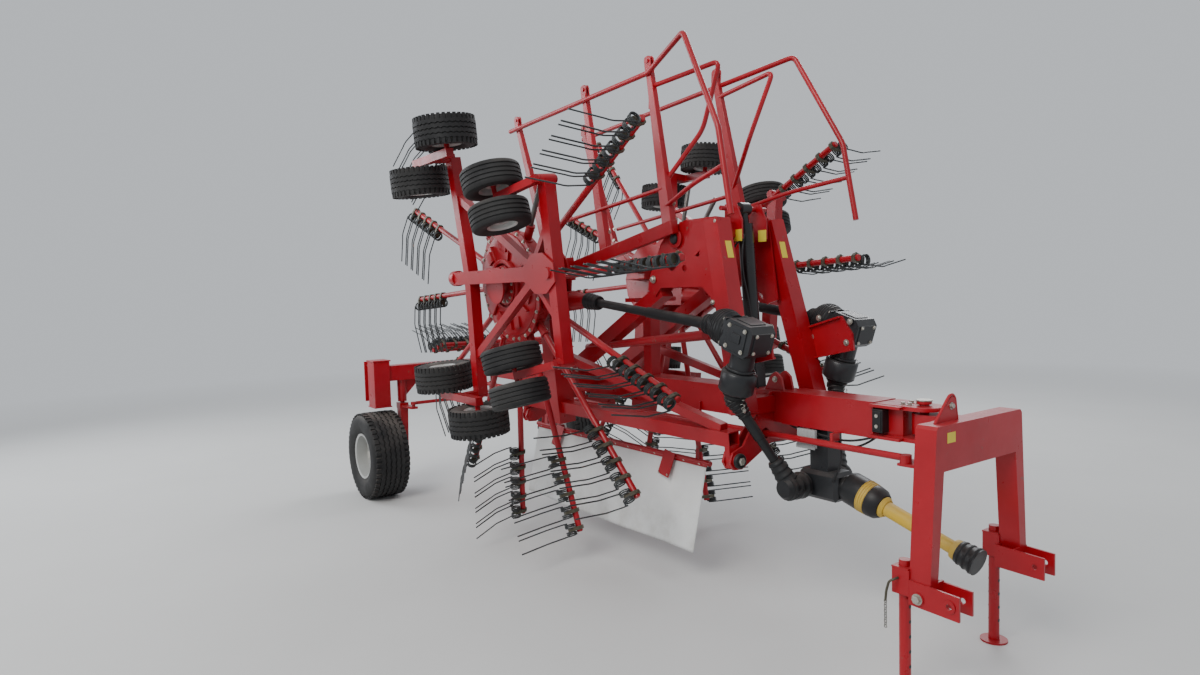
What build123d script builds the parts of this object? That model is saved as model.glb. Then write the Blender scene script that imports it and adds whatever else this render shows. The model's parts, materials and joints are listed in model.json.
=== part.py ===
from build123d import *
import math
import os

os.makedirs("parts", exist_ok=True)

# Twin-rotor rotary rake, folded upright for the road, in millimetres.
# +X points forward to the hitch, +Y to the left, +Z up, with the floor at Z = 0.
# X is measured from the rear axle while building, and the whole machine is
# moved at the end so that the origin lies under the middle of its length.

# Main beam and overall lengths
beam_rear_x = 40
beam_bottom_z = 1150
beam_top_z = 1340
beam_width = 200
beam_wall = 8
front_end_x = 5675

# Rear axle and road wheels
road_tyre_radius = 425
road_tyre_width = 370
road_rim_radius = 222
track_half = 1130
kingpin_to_tyre = 85
kingpin_y = track_half - road_tyre_width / 2 - kingpin_to_tyre
kingpin_radius = 22
kingpin_top_z = 1105
axle_beam_size = 150
kingpin_to_beam_end = 150
axle_beam_half = kingpin_y + kingpin_to_beam_end
axle_beam_top_z = 1300
steer_arm_x = 220

# Headstock
head_pivot_x = 5220
head_bar_back_x = 5420
head_bar_depth = 110
head_top_z = 1312
head_bar_bottom_z = 1092
head_half_top = 400
head_half_foot = 462
head_leg_width = 62
head_leg_bottom_z = 450
link_plate_top_z = 570
link_plate_thick = 12
link_inner_y = 338
link_pin_x = 5628
link_pin_z = 502
link_pin_radius = 14

# Ground legs in their sleeves behind the headstock
ground_leg_x = 5375
ground_leg_y = 420
ground_leg_radius = 28
ground_leg_top_z = 650
ground_foot_radius = 70
ground_sleeve_half = 43
ground_sleeve_low_z = 486
ground_sleeve_high_z = 612

# Folding rotor arms
fold_y = 420
fold_z = 950
fold_deg = 85
fold_rear_x = 1800
fold_front_x = 4220
fold_pin_radius = 20
pin_clearance = 0.05
boom_outer = 150
boom_wall = 8
boom_running_space = 6
boom_outer_start = 0
boom_outer_end = 835
boom_inner_start = 20
boom_pad_length = 45
boom_z = 5

# Rotors
hub_x = 2320
hub_s = 1140
arm_z = -280
tip_radius = 1920
arm_pitch_deg = 360 / 14
first_arm_deg = 3.3
arm_tube_radius = 23
arm_start_radius = 520
tine_end_margin = 30
tine_pair_pitch = 128
tine_pair_spread = 62
tines_along_arm = 5
tine_thickness = 10
tine_drop = 520
tine_lean = 70
drum_radius = 400
column_radius = 60
column_top_z = -100

# Wheel chassis under each rotor
chassis_top_z = -460
chassis_shift = 80
column_flange_thick = 14
brace_reach = 0.68
chassis_depth = 90
front_bar_x = 930
front_bar_half = 600
caster_trail = 320
caster_droop_deg = 14
caster_tyre_radius = 205
caster_tyre_width = 165
caster_wheel_spacing = 250
tandem_tyre_radius = 230
tandem_tyre_width = 210
tandem_front_x = -100
tandem_rear_x = -660
tandem_beam_y = 930
tandem_beam_size = 60
wheel_gap = 12
axle_z = -680
caster_axle_z = -715
wheel_side_facets = 16
road_wheel_facets = 32

# Tower
leg_foot = (4240, 332, 1220)
leg_top = (3945, 250, 2420)
leg_size = 120
stay_y = 240
stay_size = 100
stay_top = (3420, 1985)
stay_foot = (2330, 1400)
head_plate_thick = 12
cross_low_z = 1215
cross_high_z = 1315

# Drive line
gearbox_x = 4570
gearbox_z = 800
side_box_x = 4410
side_box_y = 475
side_box_z = 1700
side_box_tilt = 18
side_box_half_x = 115
side_box_half_y = 95
side_box_half_z = 95
side_plate_thick = 16
cup_radius = 105
cup_neck_radius = 72
outlet_x = 4500
outlet_y = 140
shaft_joint_y = 215
shaft_joint_radius = 60
cup_bottom = -340
cup_top = -205
drive_ball_offset = 178
drive_ball_radius = 45
drive_ball_clearance = 0.4
drive_boot_start = 12
input_tilt_deg = 17.5
input_start_x = 4720

middle_x = (front_end_x - road_tyre_radius) / 2


def block(x0, x1, y0, y1, z0, z1):
    """Box between opposite faces."""
    return Pos((x0 + x1) / 2, (y0 + y1) / 2, (z0 + z1) / 2) * Box(x1 - x0, y1 - y0, z1 - z0)


def section_plane(start, end, side):
    """Plane at start that faces end, with its X direction nearest to side."""
    a = Vector(*start)
    axis = (Vector(*end) - a).normalized()
    s = Vector(*side)
    return Plane(origin=a, x_dir=s - axis * s.dot(axis), z_dir=axis)


def distance(start, end):
    return (Vector(*end) - Vector(*start)).length


def bar(start, end, wide, deep, side=(0, 1, 0)):
    """Solid bar with a rectangular section, wide along side."""
    plane = section_plane(start, end, side)
    return extrude(plane * Rectangle(wide, deep), amount=distance(start, end))


def box_tube(start, end, wide, deep, wall, side=(0, 1, 0)):
    """Rectangular hollow section."""
    plane = section_plane(start, end, side)
    ring = Rectangle(wide, deep) - Rectangle(wide - 2 * wall, deep - 2 * wall)
    return extrude(plane * ring, amount=distance(start, end))


def taper(start, end, size_start, size_end, side=(0, 1, 0)):
    """Bar that narrows from one rectangle to another."""
    low = section_plane(start, end, side)
    high = Plane(origin=Vector(*end), x_dir=low.x_dir, z_dir=low.z_dir)
    return loft([low * Rectangle(*size_start), high * Rectangle(*size_end)])


def rod(start, end, radius):
    """Round bar."""
    plane = section_plane(start, end, (0.12, 0.31, 0.94))
    return extrude(plane * Circle(radius), amount=distance(start, end))


def flat_rod(start, end, radius, sides=8):
    """Slender tube with a few flat sides."""
    plane = section_plane(start, end, (0.12, 0.31, 0.94))
    return extrude(plane * RegularPolygon(radius, sides), amount=distance(start, end))


def bent_tube(points, radius, bend):
    """Slender tube along straight runs, each corner taken in two steps."""
    knots = [Vector(*p) for p in points]
    path_points = [knots[0]]
    for before, corner, after in zip(knots, knots[1:], knots[2:]):
        path_points.append(corner + (before - corner).normalized() * bend)
        path_points.append(corner + (after - corner).normalized() * bend)
    path_points.append(knots[-1])
    path = Polyline(*path_points)
    start = Plane(origin=path @ 0, z_dir=path % 0)
    return sweep(start * RegularPolygon(radius, 8), path=path, transition=Transition.RIGHT)


def plate_xz(outline, y0, y1):
    """Flat plate from an outline of (x, z) points, between two Y faces."""
    face = make_face(Polyline(*[(x, y0, z) for x, z in outline], close=True))
    return extrude(face, amount=abs(y1 - y0), dir=(0, 1 if y1 > y0 else -1, 0))


def plate_yz(outline, x0, x1):
    """Flat plate from an outline of (y, z) points, between two X faces."""
    face = make_face(Polyline(*[(x0, y, z) for y, z in outline], close=True))
    return extrude(face, amount=abs(x1 - x0), dir=(1 if x1 > x0 else -1, 0, 0))


def plate_xy(outline, z0, z1):
    """Flat plate from an outline of (x, y) points, between two Z faces."""
    face = make_face(Polyline(*[(x, y, z0) for x, y in outline], close=True))
    return extrude(face, amount=abs(z1 - z0), dir=(0, 0, 1 if z1 > z0 else -1))


def other_side(shape):
    """The right-hand twin of a left-hand piece."""
    return mirror(shape, about=Plane.XZ)


def both_sides(shape):
    return shape + other_side(shape)


def folded(shape):
    """From the left rotor's working frame (x, outward, up) to the folded pose."""
    return Pos(0, fold_y, fold_z) * Rot(fold_deg, 0, 0) * shape


def folded_point(x, s, z):
    c = math.cos(math.radians(fold_deg))
    n = math.sin(math.radians(fold_deg))
    return (x, fold_y + s * c - z * n, fold_z + s * n + z * c)


def wheel_ring(radius, width, bore, shoulder, facets):
    """Tyre and rim blank with flat facets, its axle along Y, centred."""
    half = width / 2
    body = extrude(Plane.XZ * RegularPolygon(radius, facets), amount=half, both=True)
    edges = body.edges().filter_by(Axis.Y, reverse=True)
    body = chamfer(edges, shoulder)
    return body - extrude(Plane.XZ * Circle(bore), amount=half + 1, both=True)


def save(name, shape):
    """Write one node, with the machine's middle moved over the origin."""
    moved = Pos(-middle_x, 0, 0) * shape
    export_step(moved, f"parts/{name}.step")


def save_pair(name, left):
    save(f"{name}_left", left)
    save(f"{name}_right", other_side(left))


# Main beam: a box tube with the pin fork of the headstock at its front end
beam_mid_z = (beam_bottom_z + beam_top_z) / 2
fork_start_x = 4980
fork_plate = 22
head_lug_height = 110
pin_boss_radius = 62
head_pin_radius = 25
front_sleeve_start_x = 4330
front_sleeve_wall = 5


def make_beam():
    height = beam_top_z - beam_bottom_z
    tube = box_tube((beam_rear_x, 0, beam_mid_z), (fork_start_x, 0, beam_mid_z),
                    beam_width, height, beam_wall)
    for z0 in (beam_top_z - fork_plate, beam_bottom_z):
        cheek = block(fork_start_x - 140, head_pivot_x, -beam_width / 2, beam_width / 2,
                      z0, z0 + fork_plate)
        end = Pos(head_pivot_x, 0, z0 + fork_plate / 2) * Cylinder(beam_width / 2, fork_plate)
        tube += cheek + end
    sleeve_wide = beam_width + 2 * front_sleeve_wall
    sleeve_high = height + 2 * front_sleeve_wall
    tube += box_tube((front_sleeve_start_x, 0, beam_mid_z), (fork_start_x, 0, beam_mid_z), sleeve_wide,
                     sleeve_high, front_sleeve_wall)
    web = block(fork_start_x - 12, fork_start_x, -beam_width / 2, beam_width / 2,
                beam_bottom_z, beam_top_z)
    pin = Pos(head_pivot_x, 0, beam_mid_z) * Cylinder(head_pin_radius, height + 50)
    cap = Pos(head_pivot_x, 0, beam_top_z + 18) * Cylinder(38, 16)
    return tube + web + pin + cap


# Fold brackets: cheeks from the beam down and out to each fold pin
bracket_cheek = 16
bracket_ear_space = 2
ear_thickness = 40


def make_fold_brackets():
    parts = []
    for x in (fold_rear_x, fold_front_x):
        inner = ear_thickness / 2 + bracket_ear_space
        for side in (-1, 1):
            x0 = x + side * inner
            x1 = x0 + side * bracket_cheek
            outline = [(0, beam_bottom_z - 130), (0, beam_bottom_z), (beam_width / 2, beam_bottom_z),
                       (beam_width / 2, beam_bottom_z + 60), (beam_width / 2 + 40, beam_bottom_z + 60),
                       (300, 1120), (365, 1030), (fold_y + 35, fold_z + 50), (fold_y + 58, fold_z - 10),
                       (fold_y + 30, fold_z - 55), (fold_y - 40, fold_z - 60),
                       (120, beam_bottom_z - 130)]
            plate = plate_yz(outline, x0, x1)
            rod_slot = rod((x0 - 40, 170, 1085), (x0 + 40, 170, 1085), 34)
            parts.append(plate - rod_slot)
        pin_half = inner + bracket_cheek + 14
        for side in (-1, 1):
            face_x = x + side * (inner + bracket_cheek)
            parts.append(rod((face_x, fold_y, fold_z), (face_x + side * 10, fold_y, fold_z), 40))
        parts.append(rod((x - pin_half, fold_y, fold_z), (x + pin_half, fold_y, fold_z),
                         fold_pin_radius))
    left = parts[0]
    for piece in parts[1:]:
        left += piece
    return both_sides(left)


# Tower: two raked front legs with head plates, and two long stays behind
def make_tower_legs():
    legs = bar(leg_foot, leg_top, leg_size, leg_size)
    legs += block(leg_foot[0] - 75, leg_foot[0] + 35, beam_width / 2, leg_foot[1] + 62,
                  cross_low_z, cross_high_z)
    outer = leg_top[1] + leg_size / 2 - 8
    inner = leg_top[1] - leg_size / 2
    outline = [(3985, 2440), (3700, 2440), (3560, 2400), (3450, 2300), (3330, 2090), (3300, 1990),
               (3380, 1940), (3440, 2000), (3850, 2000), (3930, 1930), (3965, 1870), (4060, 1900)]
    triangle = plate_xz([(3790, 2200), (3835, 2235), (3830, 2195)], 0, 400)
    oval = Pos(3687, 200, 2125) * Rot(90, 0, 0) * Cylinder(22, 400)
    lightening = Pos(3560, 200, 2160) * Rot(90, 0, 0) * Cylinder(48, 400)
    for y in (outer, inner):
        plate = plate_xz(outline, y - head_plate_thick, y)
        legs += plate - triangle - oval - lightening
    mount_y = side_box_y - side_box_half_y
    mount_outline = [(4110, 1700), (4420, 1790), (4500, 1680), (4512, 1575), (4190, 1503), (4130, 1515)]
    legs += plate_xz(mount_outline, mount_y - side_plate_thick, mount_y)
    legs += bar((4140, mount_y - 20, 1704), (4415, mount_y - 20, 1784), 40, 12)
    legs += bar((4195, mount_y - 20, 1510), (4500, mount_y - 20, 1578), 40, 12)
    legs += block(3890, 3980, 106, inner + 4, 2310, 2400)
    legs = both_sides(legs)
    for x, z, radius in ((3615, 2322, 48), (3370, 2060, 30)):
        legs += rod((x, -outer - 6, z), (x, outer + 6, z), radius)
    for y in (-118, 106):
        clevis = plate_xz([(3880, 2300), (4035, 2300), (4035, 2420), (3985, 2530), (3885, 2530)], y, y + 12)
        legs += clevis
    legs += rod((3935, -206, 2500), (3935, 206, 2500), 16)
    return legs + block(3770, 3850, -inner, inner, 2290, 2330)


def make_tower_stays():
    top = (stay_top[0], stay_y, stay_top[1])
    foot = (stay_foot[0], stay_y, stay_foot[1])
    stay = bar(foot, top, stay_size, stay_size)
    stay += block(stay_foot[0] - 80, stay_foot[0] + 60, beam_width / 2, stay_y + stay_size / 2, 1230, 1330)
    stay += block(stay_foot[0] - 70, stay_foot[0] + 50, stay_y - stay_size / 2,
                  stay_y + stay_size / 2, 1325, 1440)
    tie = rod((3850, stay_y + 40, 1690), (2480, stay_y + 20, 1545), 30)
    stays = both_sides(stay + tie)
    post = box_tube((2960, 0, beam_top_z), (2960, 0, 1900), 90, 90, 6)
    cap = block(2900, 3020, -stay_y + 40, stay_y - 40, 1900, 1930)
    brace = box_tube((3900, 0, beam_top_z), (3900, 0, 1600), 80, 80, 6)
    return stays + post + cap + brace


# Rear axle: cross-beam, kingpin sleeves and the boxes at its two ends
end_box_length = 160


def make_rear_axle():
    z0 = axle_beam_top_z - axle_beam_size
    beam = box_tube((0, -axle_beam_half, (z0 + axle_beam_top_z) / 2),
                    (0, axle_beam_half, (z0 + axle_beam_top_z) / 2),
                    axle_beam_size, axle_beam_size, 8, side=(1, 0, 0))
    beam -= block(beam_rear_x, 200, -beam_width / 2, beam_width / 2, z0 - 20, axle_beam_top_z + 60)
    joint = block(beam_rear_x - 20, beam_rear_x, -beam_width / 2, beam_width / 2,
                  beam_bottom_z, beam_top_z)
    sleeve_bottom = 930
    sleeve = Pos(0, kingpin_y, (sleeve_bottom + z0) / 2) * Cylinder(45, z0 - sleeve_bottom)
    sleeve -= Pos(0, kingpin_y, 1000) * Cylinder(kingpin_radius + pin_clearance, 2 * (kingpin_top_z - 1000))
    gusset = plate_yz([(kingpin_y - 45, z0), (kingpin_y - 200, z0), (kingpin_y - 45, z0 - 160)], -8, 8)
    end_y = axle_beam_half + end_box_length
    end_box = block(-90, 90, axle_beam_half, end_y, 905, 1350)
    board = block(-200, -188, end_y - 150, end_y, 940, 1340)
    board += block(-190, -88, end_y - 100, end_y - 60, 1120, 1160)
    side = sleeve + gusset + end_box + board
    return beam + joint + both_sides(side)


def make_knuckle():
    pin = Pos(0, kingpin_y, (905 + kingpin_top_z) / 2) * Cylinder(kingpin_radius, kingpin_top_z - 905)
    top = block(-50, 50, kingpin_y - 45, kingpin_y + 45, 860, 915)
    leg = taper((0, kingpin_y, 862), (0, kingpin_y, 380), (80, 100), (60, 80))
    stub = rod((0, kingpin_y + 20, road_tyre_radius), (0, track_half + 60, road_tyre_radius), 28)
    arm = plate_xy([(0, kingpin_y - 40), (steer_arm_x + 35, kingpin_y - 60),
                    (steer_arm_x + 35, kingpin_y), (0, kingpin_y + 40)], 870, 892)
    ball = Pos(steer_arm_x, kingpin_y - 30, 901) * Cylinder(16, 2 * (911 - pin_clearance - 901))
    return pin + top + leg + stub + arm + ball


def make_road_rim():
    half = road_tyre_width / 2
    outline = [(29, -60), (70, -60), (70, 10), (road_rim_radius - 22, 30), (road_rim_radius - 22,
                                                                            -half + 30),
               (road_rim_radius, -half + 24), (road_rim_radius, half - 24),
               (road_rim_radius - 22, half - 30), (road_rim_radius - 22, 48), (70, 34), (52, 80), (29, 80)]
    face = make_face(Polyline(*[(x, y, 0) for x, y in outline], close=True))
    return Pos(0, track_half, road_tyre_radius) * revolve(face, Axis.Y)


def make_road_tyre():
    wheel = wheel_ring(road_tyre_radius, road_tyre_width, road_rim_radius, 45, road_wheel_facets)
    return Pos(0, track_half, road_tyre_radius) * wheel


tie_rod_z = 925
bellcrank_x = steer_arm_x + 110
push_rod_y = -170
push_rod_z = 1085
steer_plate_top_z = 1058
rod_eye_height = 44


def make_tie_rod():
    half = kingpin_y - 30
    tie = rod((steer_arm_x, -half + 26, tie_rod_z), (steer_arm_x, half - 26, tie_rod_z), 17)
    for side in (-1, 1):
        eye = Pos(steer_arm_x, side * half, tie_rod_z) * Cylinder(28, 28)
        tie += eye
    return tie + block(steer_arm_x - 25, steer_arm_x + 25, -30, 30, tie_rod_z - 17, tie_rod_z + 22)


def make_bellcrank():
    hub = Pos(bellcrank_x, 0, 1020) * Cylinder(40, 120)
    pin = Pos(bellcrank_x, 0, 1110) * Cylinder(24, 79)
    low = plate_xy([(bellcrank_x + 30, -30), (bellcrank_x + 30, 30), (steer_arm_x - 25, 22),
                    (steer_arm_x - 25, -22)], 962, 978)
    side = plate_xy([(bellcrank_x - 32, 0), (bellcrank_x - 26, push_rod_y - 25),
                     (bellcrank_x + 26, push_rod_y - 25), (bellcrank_x + 32, 0)],
                    steer_plate_top_z - 16, steer_plate_top_z)
    return hub + pin + low + side


def make_push_rod():
    start = (bellcrank_x + 24, push_rod_y, push_rod_z)
    end = (head_pivot_x - 24, push_rod_y, push_rod_z)
    tube = rod(start, end, 19)
    for x in (bellcrank_x, head_pivot_x):
        tube += Pos(x, push_rod_y,
                    steer_plate_top_z + pin_clearance + rod_eye_height / 2) * Cylinder(30, rod_eye_height)
    return tube


# Headstock with two legs, lower link brackets and the steering lug
def make_headstock():
    x0 = head_bar_back_x
    x1 = x0 + head_bar_depth
    inner_top = head_half_top - head_leg_width
    inner_foot = head_half_foot - head_leg_width
    bar_box = block(x0, x1, -inner_top, inner_top, head_bar_bottom_z, head_top_z)
    bar_box -= block(x0 + 10, x1 - 10, -inner_top - 1, inner_top + 1, head_bar_bottom_z + 10,
                     head_top_z - 10)
    lug_half = head_lug_height / 2
    lug = block(head_pivot_x, x0, -70, 70, beam_mid_z - lug_half, beam_mid_z + lug_half)
    lug += Pos(head_pivot_x, 0, beam_mid_z) * Cylinder(pin_boss_radius, head_lug_height)
    lug -= Pos(head_pivot_x, 0, beam_mid_z) * Cylinder(head_pin_radius + pin_clearance, head_lug_height + 2)
    leg = plate_yz([(inner_top, head_top_z), (head_half_top - 16, head_top_z), (head_half_top,
                                                                                head_top_z - 16),
                    (head_half_foot, head_leg_bottom_z), (inner_foot, head_leg_bottom_z),
                    (inner_top, head_bar_bottom_z)], x0, x1)
    plate_outline = [(x0, link_plate_top_z), (front_end_x, link_plate_top_z - 12),
                     (front_end_x, head_leg_bottom_z - 8), (x0, head_leg_bottom_z)]
    outer_y = head_half_foot - link_plate_thick
    side = leg + plate_xz(plate_outline, outer_y, head_half_foot)
    side += plate_xz(plate_outline, link_inner_y, link_inner_y + link_plate_thick)
    side += block(x1 - 12, x1, link_inner_y, head_half_foot, head_leg_bottom_z, link_plate_top_z)
    side += block(x0, x0 + 12, link_inner_y, head_half_foot, head_leg_bottom_z, link_plate_top_z)
    side -= rod((link_pin_x, link_inner_y - 5, link_pin_z), (link_pin_x, head_half_foot + 5, link_pin_z),
                link_pin_radius + pin_clearance)
    sleeve = block(ground_leg_x - ground_sleeve_half, x0 + 4, ground_leg_y - ground_sleeve_half,
                   ground_leg_y + ground_sleeve_half, ground_sleeve_low_z, ground_sleeve_high_z)
    side += sleeve
    bore = Pos(ground_leg_x, ground_leg_y,
               ground_sleeve_high_z) * Cylinder(ground_leg_radius + pin_clearance, 400)
    stock = bar_box + lug + both_sides(side - bore)
    steer = plate_xy([(head_pivot_x - 32, -60), (head_pivot_x - 32, push_rod_y - 30),
                      (head_pivot_x + 40, push_rod_y - 30), (x0, -150), (x0, -60)],
                     steer_plate_top_z - 14, steer_plate_top_z)
    drop = block(x0 - 16, x0, -150, -60, steer_plate_top_z - 14, head_bar_bottom_z + 30)
    loop = plate_yz([(-315, head_top_z), (-125, head_top_z), (-145, 1420), (-175, 1432), (-205, 1412)],
                    5465, 5475)
    loop -= rod((5460, -180, 1385), (5480, -180, 1385), 14)
    return stock + steer + drop + loop


def make_ground_leg(side):
    y = side * ground_leg_y
    tube = Pos(ground_leg_x, y, (10 + ground_leg_top_z) / 2) * Cylinder(ground_leg_radius,
                                                                        ground_leg_top_z - 10)
    return tube + Pos(ground_leg_x, y, 5) * Cylinder(ground_foot_radius, 10)


# Drive line
def taper_round(start, end, r0, r1):
    """Round bar or boot that may taper."""
    axis = (end - start).normalized()
    plane = Plane(origin=start, z_dir=axis)
    length = (end - start).length
    if r0 == r1:
        return extrude(plane * Circle(r0), amount=length)
    return loft([plane * Circle(r0), Plane(origin=end, x_dir=plane.x_dir, z_dir=axis) * Circle(r1)])


def make_central_gearbox():
    case = block(gearbox_x - 130, input_start_x, -90, 90, gearbox_z - 80, gearbox_z + 90)
    case = chamfer(case.edges(), 22)
    neck = block(gearbox_x - 60, gearbox_x + 70, -60, 60, gearbox_z + 60,
                 beam_bottom_z - front_sleeve_wall)
    outlet = rod((outlet_x, 60, gearbox_z), (outlet_x, outlet_y, gearbox_z), 45)
    return case + neck + both_sides(outlet)


def side_box_point(x, z):
    """A point of the side gearbox's own tilted frame, in its middle plane."""
    tilt = math.radians(side_box_tilt)
    return (side_box_x + x * math.cos(tilt) + z * math.sin(tilt), side_box_y,
            side_box_z - x * math.sin(tilt) + z * math.cos(tilt))


rotor_inlet = folded_point(hub_x + 620, hub_s - 160, -60)
drive_start = side_box_point(-drive_ball_offset, 0)


def make_side_shafts():
    low = Vector(outlet_x, shaft_joint_y, gearbox_z)
    seat = Vector(*side_box_point(0, cup_bottom))
    high = Vector(*side_box_point(0, cup_bottom - 45))
    knee = Vector(*side_box_point(0, cup_bottom - 70))
    axis = (high - low).normalized()
    shaft = rod((outlet_x, outlet_y, gearbox_z), (outlet_x, shaft_joint_y + 30, gearbox_z), 52)
    shaft += taper_round(low - axis * 30, low + axis * 170, shaft_joint_radius, 46)
    shaft += taper_round(low + axis * 170, high - axis * 110, 27, 27)
    shaft += taper_round(high - axis * 110, high, 44, 57)
    shaft += taper_round(knee, seat, 50, 50)
    return both_sides(shaft)


def make_side_gearboxes():
    case = block(-side_box_half_x, side_box_half_x, -side_box_half_y, side_box_half_y,
                 -side_box_half_z, side_box_half_z)
    case = chamfer(case.edges().filter_by(Axis.Y), 34)
    profile = [(0, -side_box_half_z + 20), (cup_neck_radius, -side_box_half_z + 20),
               (cup_neck_radius, cup_top),
               (cup_radius - 12, cup_top), (cup_radius, cup_top - 12), (cup_radius, cup_bottom + 12),
               (cup_radius - 12, cup_bottom), (0, cup_bottom)]
    face = make_face(Polyline(*[(r, 0, z) for r, z in profile], close=True))
    case += revolve(face, Axis.Z)
    case = Pos(side_box_x, side_box_y, side_box_z) * Rot(0, side_box_tilt, 0) * case
    stub = rod(side_box_point(-side_box_half_x + 10, 0), drive_start, 21)
    ball = Pos(*drive_start) * Sphere(drive_ball_radius)
    return both_sides(case + stub + ball)


def make_drive_shaft():
    a = Vector(*drive_start)
    b = Vector(*rotor_inlet)
    axis = (b - a).normalized()
    end = b - axis * 1
    boot = taper_round(a + axis * drive_boot_start, a + axis * 45, 52, 70)
    boot += taper_round(a + axis * 45, a + axis * 130, 70, 58)
    boot -= Pos(a) * Sphere(drive_ball_radius + drive_ball_clearance)
    tube = taper_round(a + axis * 130, end - axis * 130, 34, 34)
    return boot + tube + taper_round(end - axis * 130, end, 50, 62)


def make_input_shaft():
    tilt = math.radians(input_tilt_deg)
    axis = Vector(math.cos(tilt), 0, -math.sin(tilt))
    knee = Vector(input_start_x + 70, 0, gearbox_z)
    end = knee + axis * 760
    shaft = rod((input_start_x, 0, gearbox_z), (knee.X + 20, 0, knee.Z), 62)
    shaft += taper_round(knee - axis * 30, knee + axis * 150, 76, 60)
    shaft += taper_round(knee + axis * 150, end - axis * 130, 42, 42)
    return shaft + taper_round(end - axis * 130, end, 50, 68)


def make_lift_cylinder():
    top = (3935, 0, 2500)
    gland = (3950, 0, 2400)
    low = (4008, 0, 1640)
    barrel = rod(low, gland, 50)
    piston = rod(gland, top, 27)
    eye = rod((top[0], -40, top[2]), (top[0], 40, top[2]), 42)
    pin_hole = rod((top[0], -41, top[2]), (top[0], 41, top[2]), 16 + pin_clearance)
    foot = taper((low[0], 0, beam_top_z), (low[0], 0, low[2] + 10), (110, 110), (84, 84))
    for y in (-50, 36):
        lug_outline = [(4150, beam_top_z), (4300, beam_top_z), (4280, 1420), (4235, 1452), (4190, 1420)]
        lug = plate_xz(lug_outline, y, y + 14)
        foot += lug
    return barrel + piston + eye - pin_hole + foot


# Tine arms
def make_tine_arm():
    """Tube along X with double tines that point down, from the socket outwards."""
    arm = flat_rod((arm_start_radius, 0, 0), (tip_radius, 0, 0), arm_tube_radius, 6)
    for i in range(tines_along_arm):
        x = tip_radius - tine_end_margin - i * tine_pair_pitch
        arm += block(x - 37, x + 37, -40, 26, -50, 26)
        for side in (-1, 1):
            arm += Pos(x + side * tine_pair_spread / 2, -32, -44) * make_tine()
    return arm


def make_tine():
    """Slender spring tine that leans back from half its height down."""
    half = tine_thickness / 2
    knee = -tine_drop / 2
    tip = 44 - tine_drop
    outline = [(-half, 0), (half, 0), (half, knee), (half + tine_lean, tip), (tine_lean - half,
                                                                              tip), (-half, knee)]
    return plate_yz(outline, -half, half)


# Arms left on each rotor: angle in the rotor's plane, and the turn of its tines
arm_turns = [(0, 0), (1, 0), (5, 62), (6, 74), (7, 80), (8, 74), (9, 45), (10, 12), (11, 0), (12,
                                                                                              0), (13, 0)]


def make_tine_arms(arm):
    solids = []
    for place, turn in arm_turns:
        angle = first_arm_deg + place * arm_pitch_deg
        one = Pos(hub_x, hub_s, arm_z) * Rot(0, 0, angle) * Rot(turn, 0, 0) * arm
        solids.append(folded(one))
    return Compound(children=solids)


def make_rotor_hub():
    bore = column_radius + pin_clearance
    outline = [(bore, -395), (150, -395), (drum_radius - 60, -362), (drum_radius, -340),
               (drum_radius, -225), (drum_radius - 80, -175), (150, -150), (bore, -150)]
    face = make_face(Polyline(*[(r, 0, z) for r, z in outline], close=True))
    hub = revolve(face, Axis.Z)
    rim = Pos(0, 0, -344) * extrude(RegularPolygon(drum_radius + 45, 14), amount=12)
    hub += rim - Pos(0, 0, -344) * Cylinder(bore, 100)
    for place in range(14):
        angle = first_arm_deg + place * arm_pitch_deg
        socket = flat_rod((drum_radius - 30, 0, arm_z), (arm_start_radius, 0, arm_z), 33)
        hub += Rot(0, 0, angle) * socket
    return folded(Pos(hub_x, hub_s, 0) * hub)


# Fold frame: ears on the fold pins, a long box along the beam and the boom's outer tube
boom_box = boom_outer - 2 * boom_wall - 2 * boom_running_space
rail_s = 130
rail_size = 90


def slide_pads(start, inner, outer):
    """Ring of slide pads between the two boom tubes."""
    ring = Rectangle(2 * outer, 2 * outer) - Rectangle(2 * inner, 2 * inner)
    plane = Plane(origin=(hub_x, start, boom_z), x_dir=(1, 0, 0), z_dir=(0, 1, 0))
    return extrude(plane * ring, amount=boom_pad_length)


def make_fold_frame():
    rail = box_tube((fold_rear_x - 20, rail_s, boom_z), (fold_front_x + 20, rail_s, boom_z),
                    rail_size, rail_size, 6)
    frame = rail
    for x in (fold_rear_x, fold_front_x):
        ear = block(x - ear_thickness / 2, x + ear_thickness / 2, -45, rail_s - rail_size / 2 + 2, -42, 42)
        ear += rod((x - ear_thickness / 2, 0, 0), (x + ear_thickness / 2, 0, 0), 45)
        ear -= rod((x - ear_thickness, 0, 0), (x + ear_thickness, 0, 0), fold_pin_radius + pin_clearance)
        frame += ear
    low = rail_s + rail_size / 2
    boom = box_tube((hub_x, boom_outer_start, boom_z), (hub_x, boom_outer_end, boom_z), boom_outer,
                    boom_outer,
                    boom_wall, side=(1, 0, 0))
    brace_front = bar((fold_front_x - 60, low + 10, boom_z), (hub_x + 70, 560, boom_z), 60, 60,
                      side=(0, 0, 1))
    brace_rear = bar((fold_rear_x + 30, low + 10, boom_z), (hub_x - 70, 470, boom_z), 60, 60,
                     side=(0, 0, 1))
    cavity = boom_outer / 2 - boom_wall
    frame = frame + boom + brace_front + brace_rear
    frame -= block(hub_x - cavity, hub_x + cavity, boom_outer_start - 1, boom_outer_end + 1,
                   boom_z - cavity, boom_z + cavity)
    frame += slide_pads(boom_outer_end - boom_pad_length, boom_box / 2 + pin_clearance,
                        boom_outer / 2 - boom_wall)
    return folded(frame)


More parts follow.
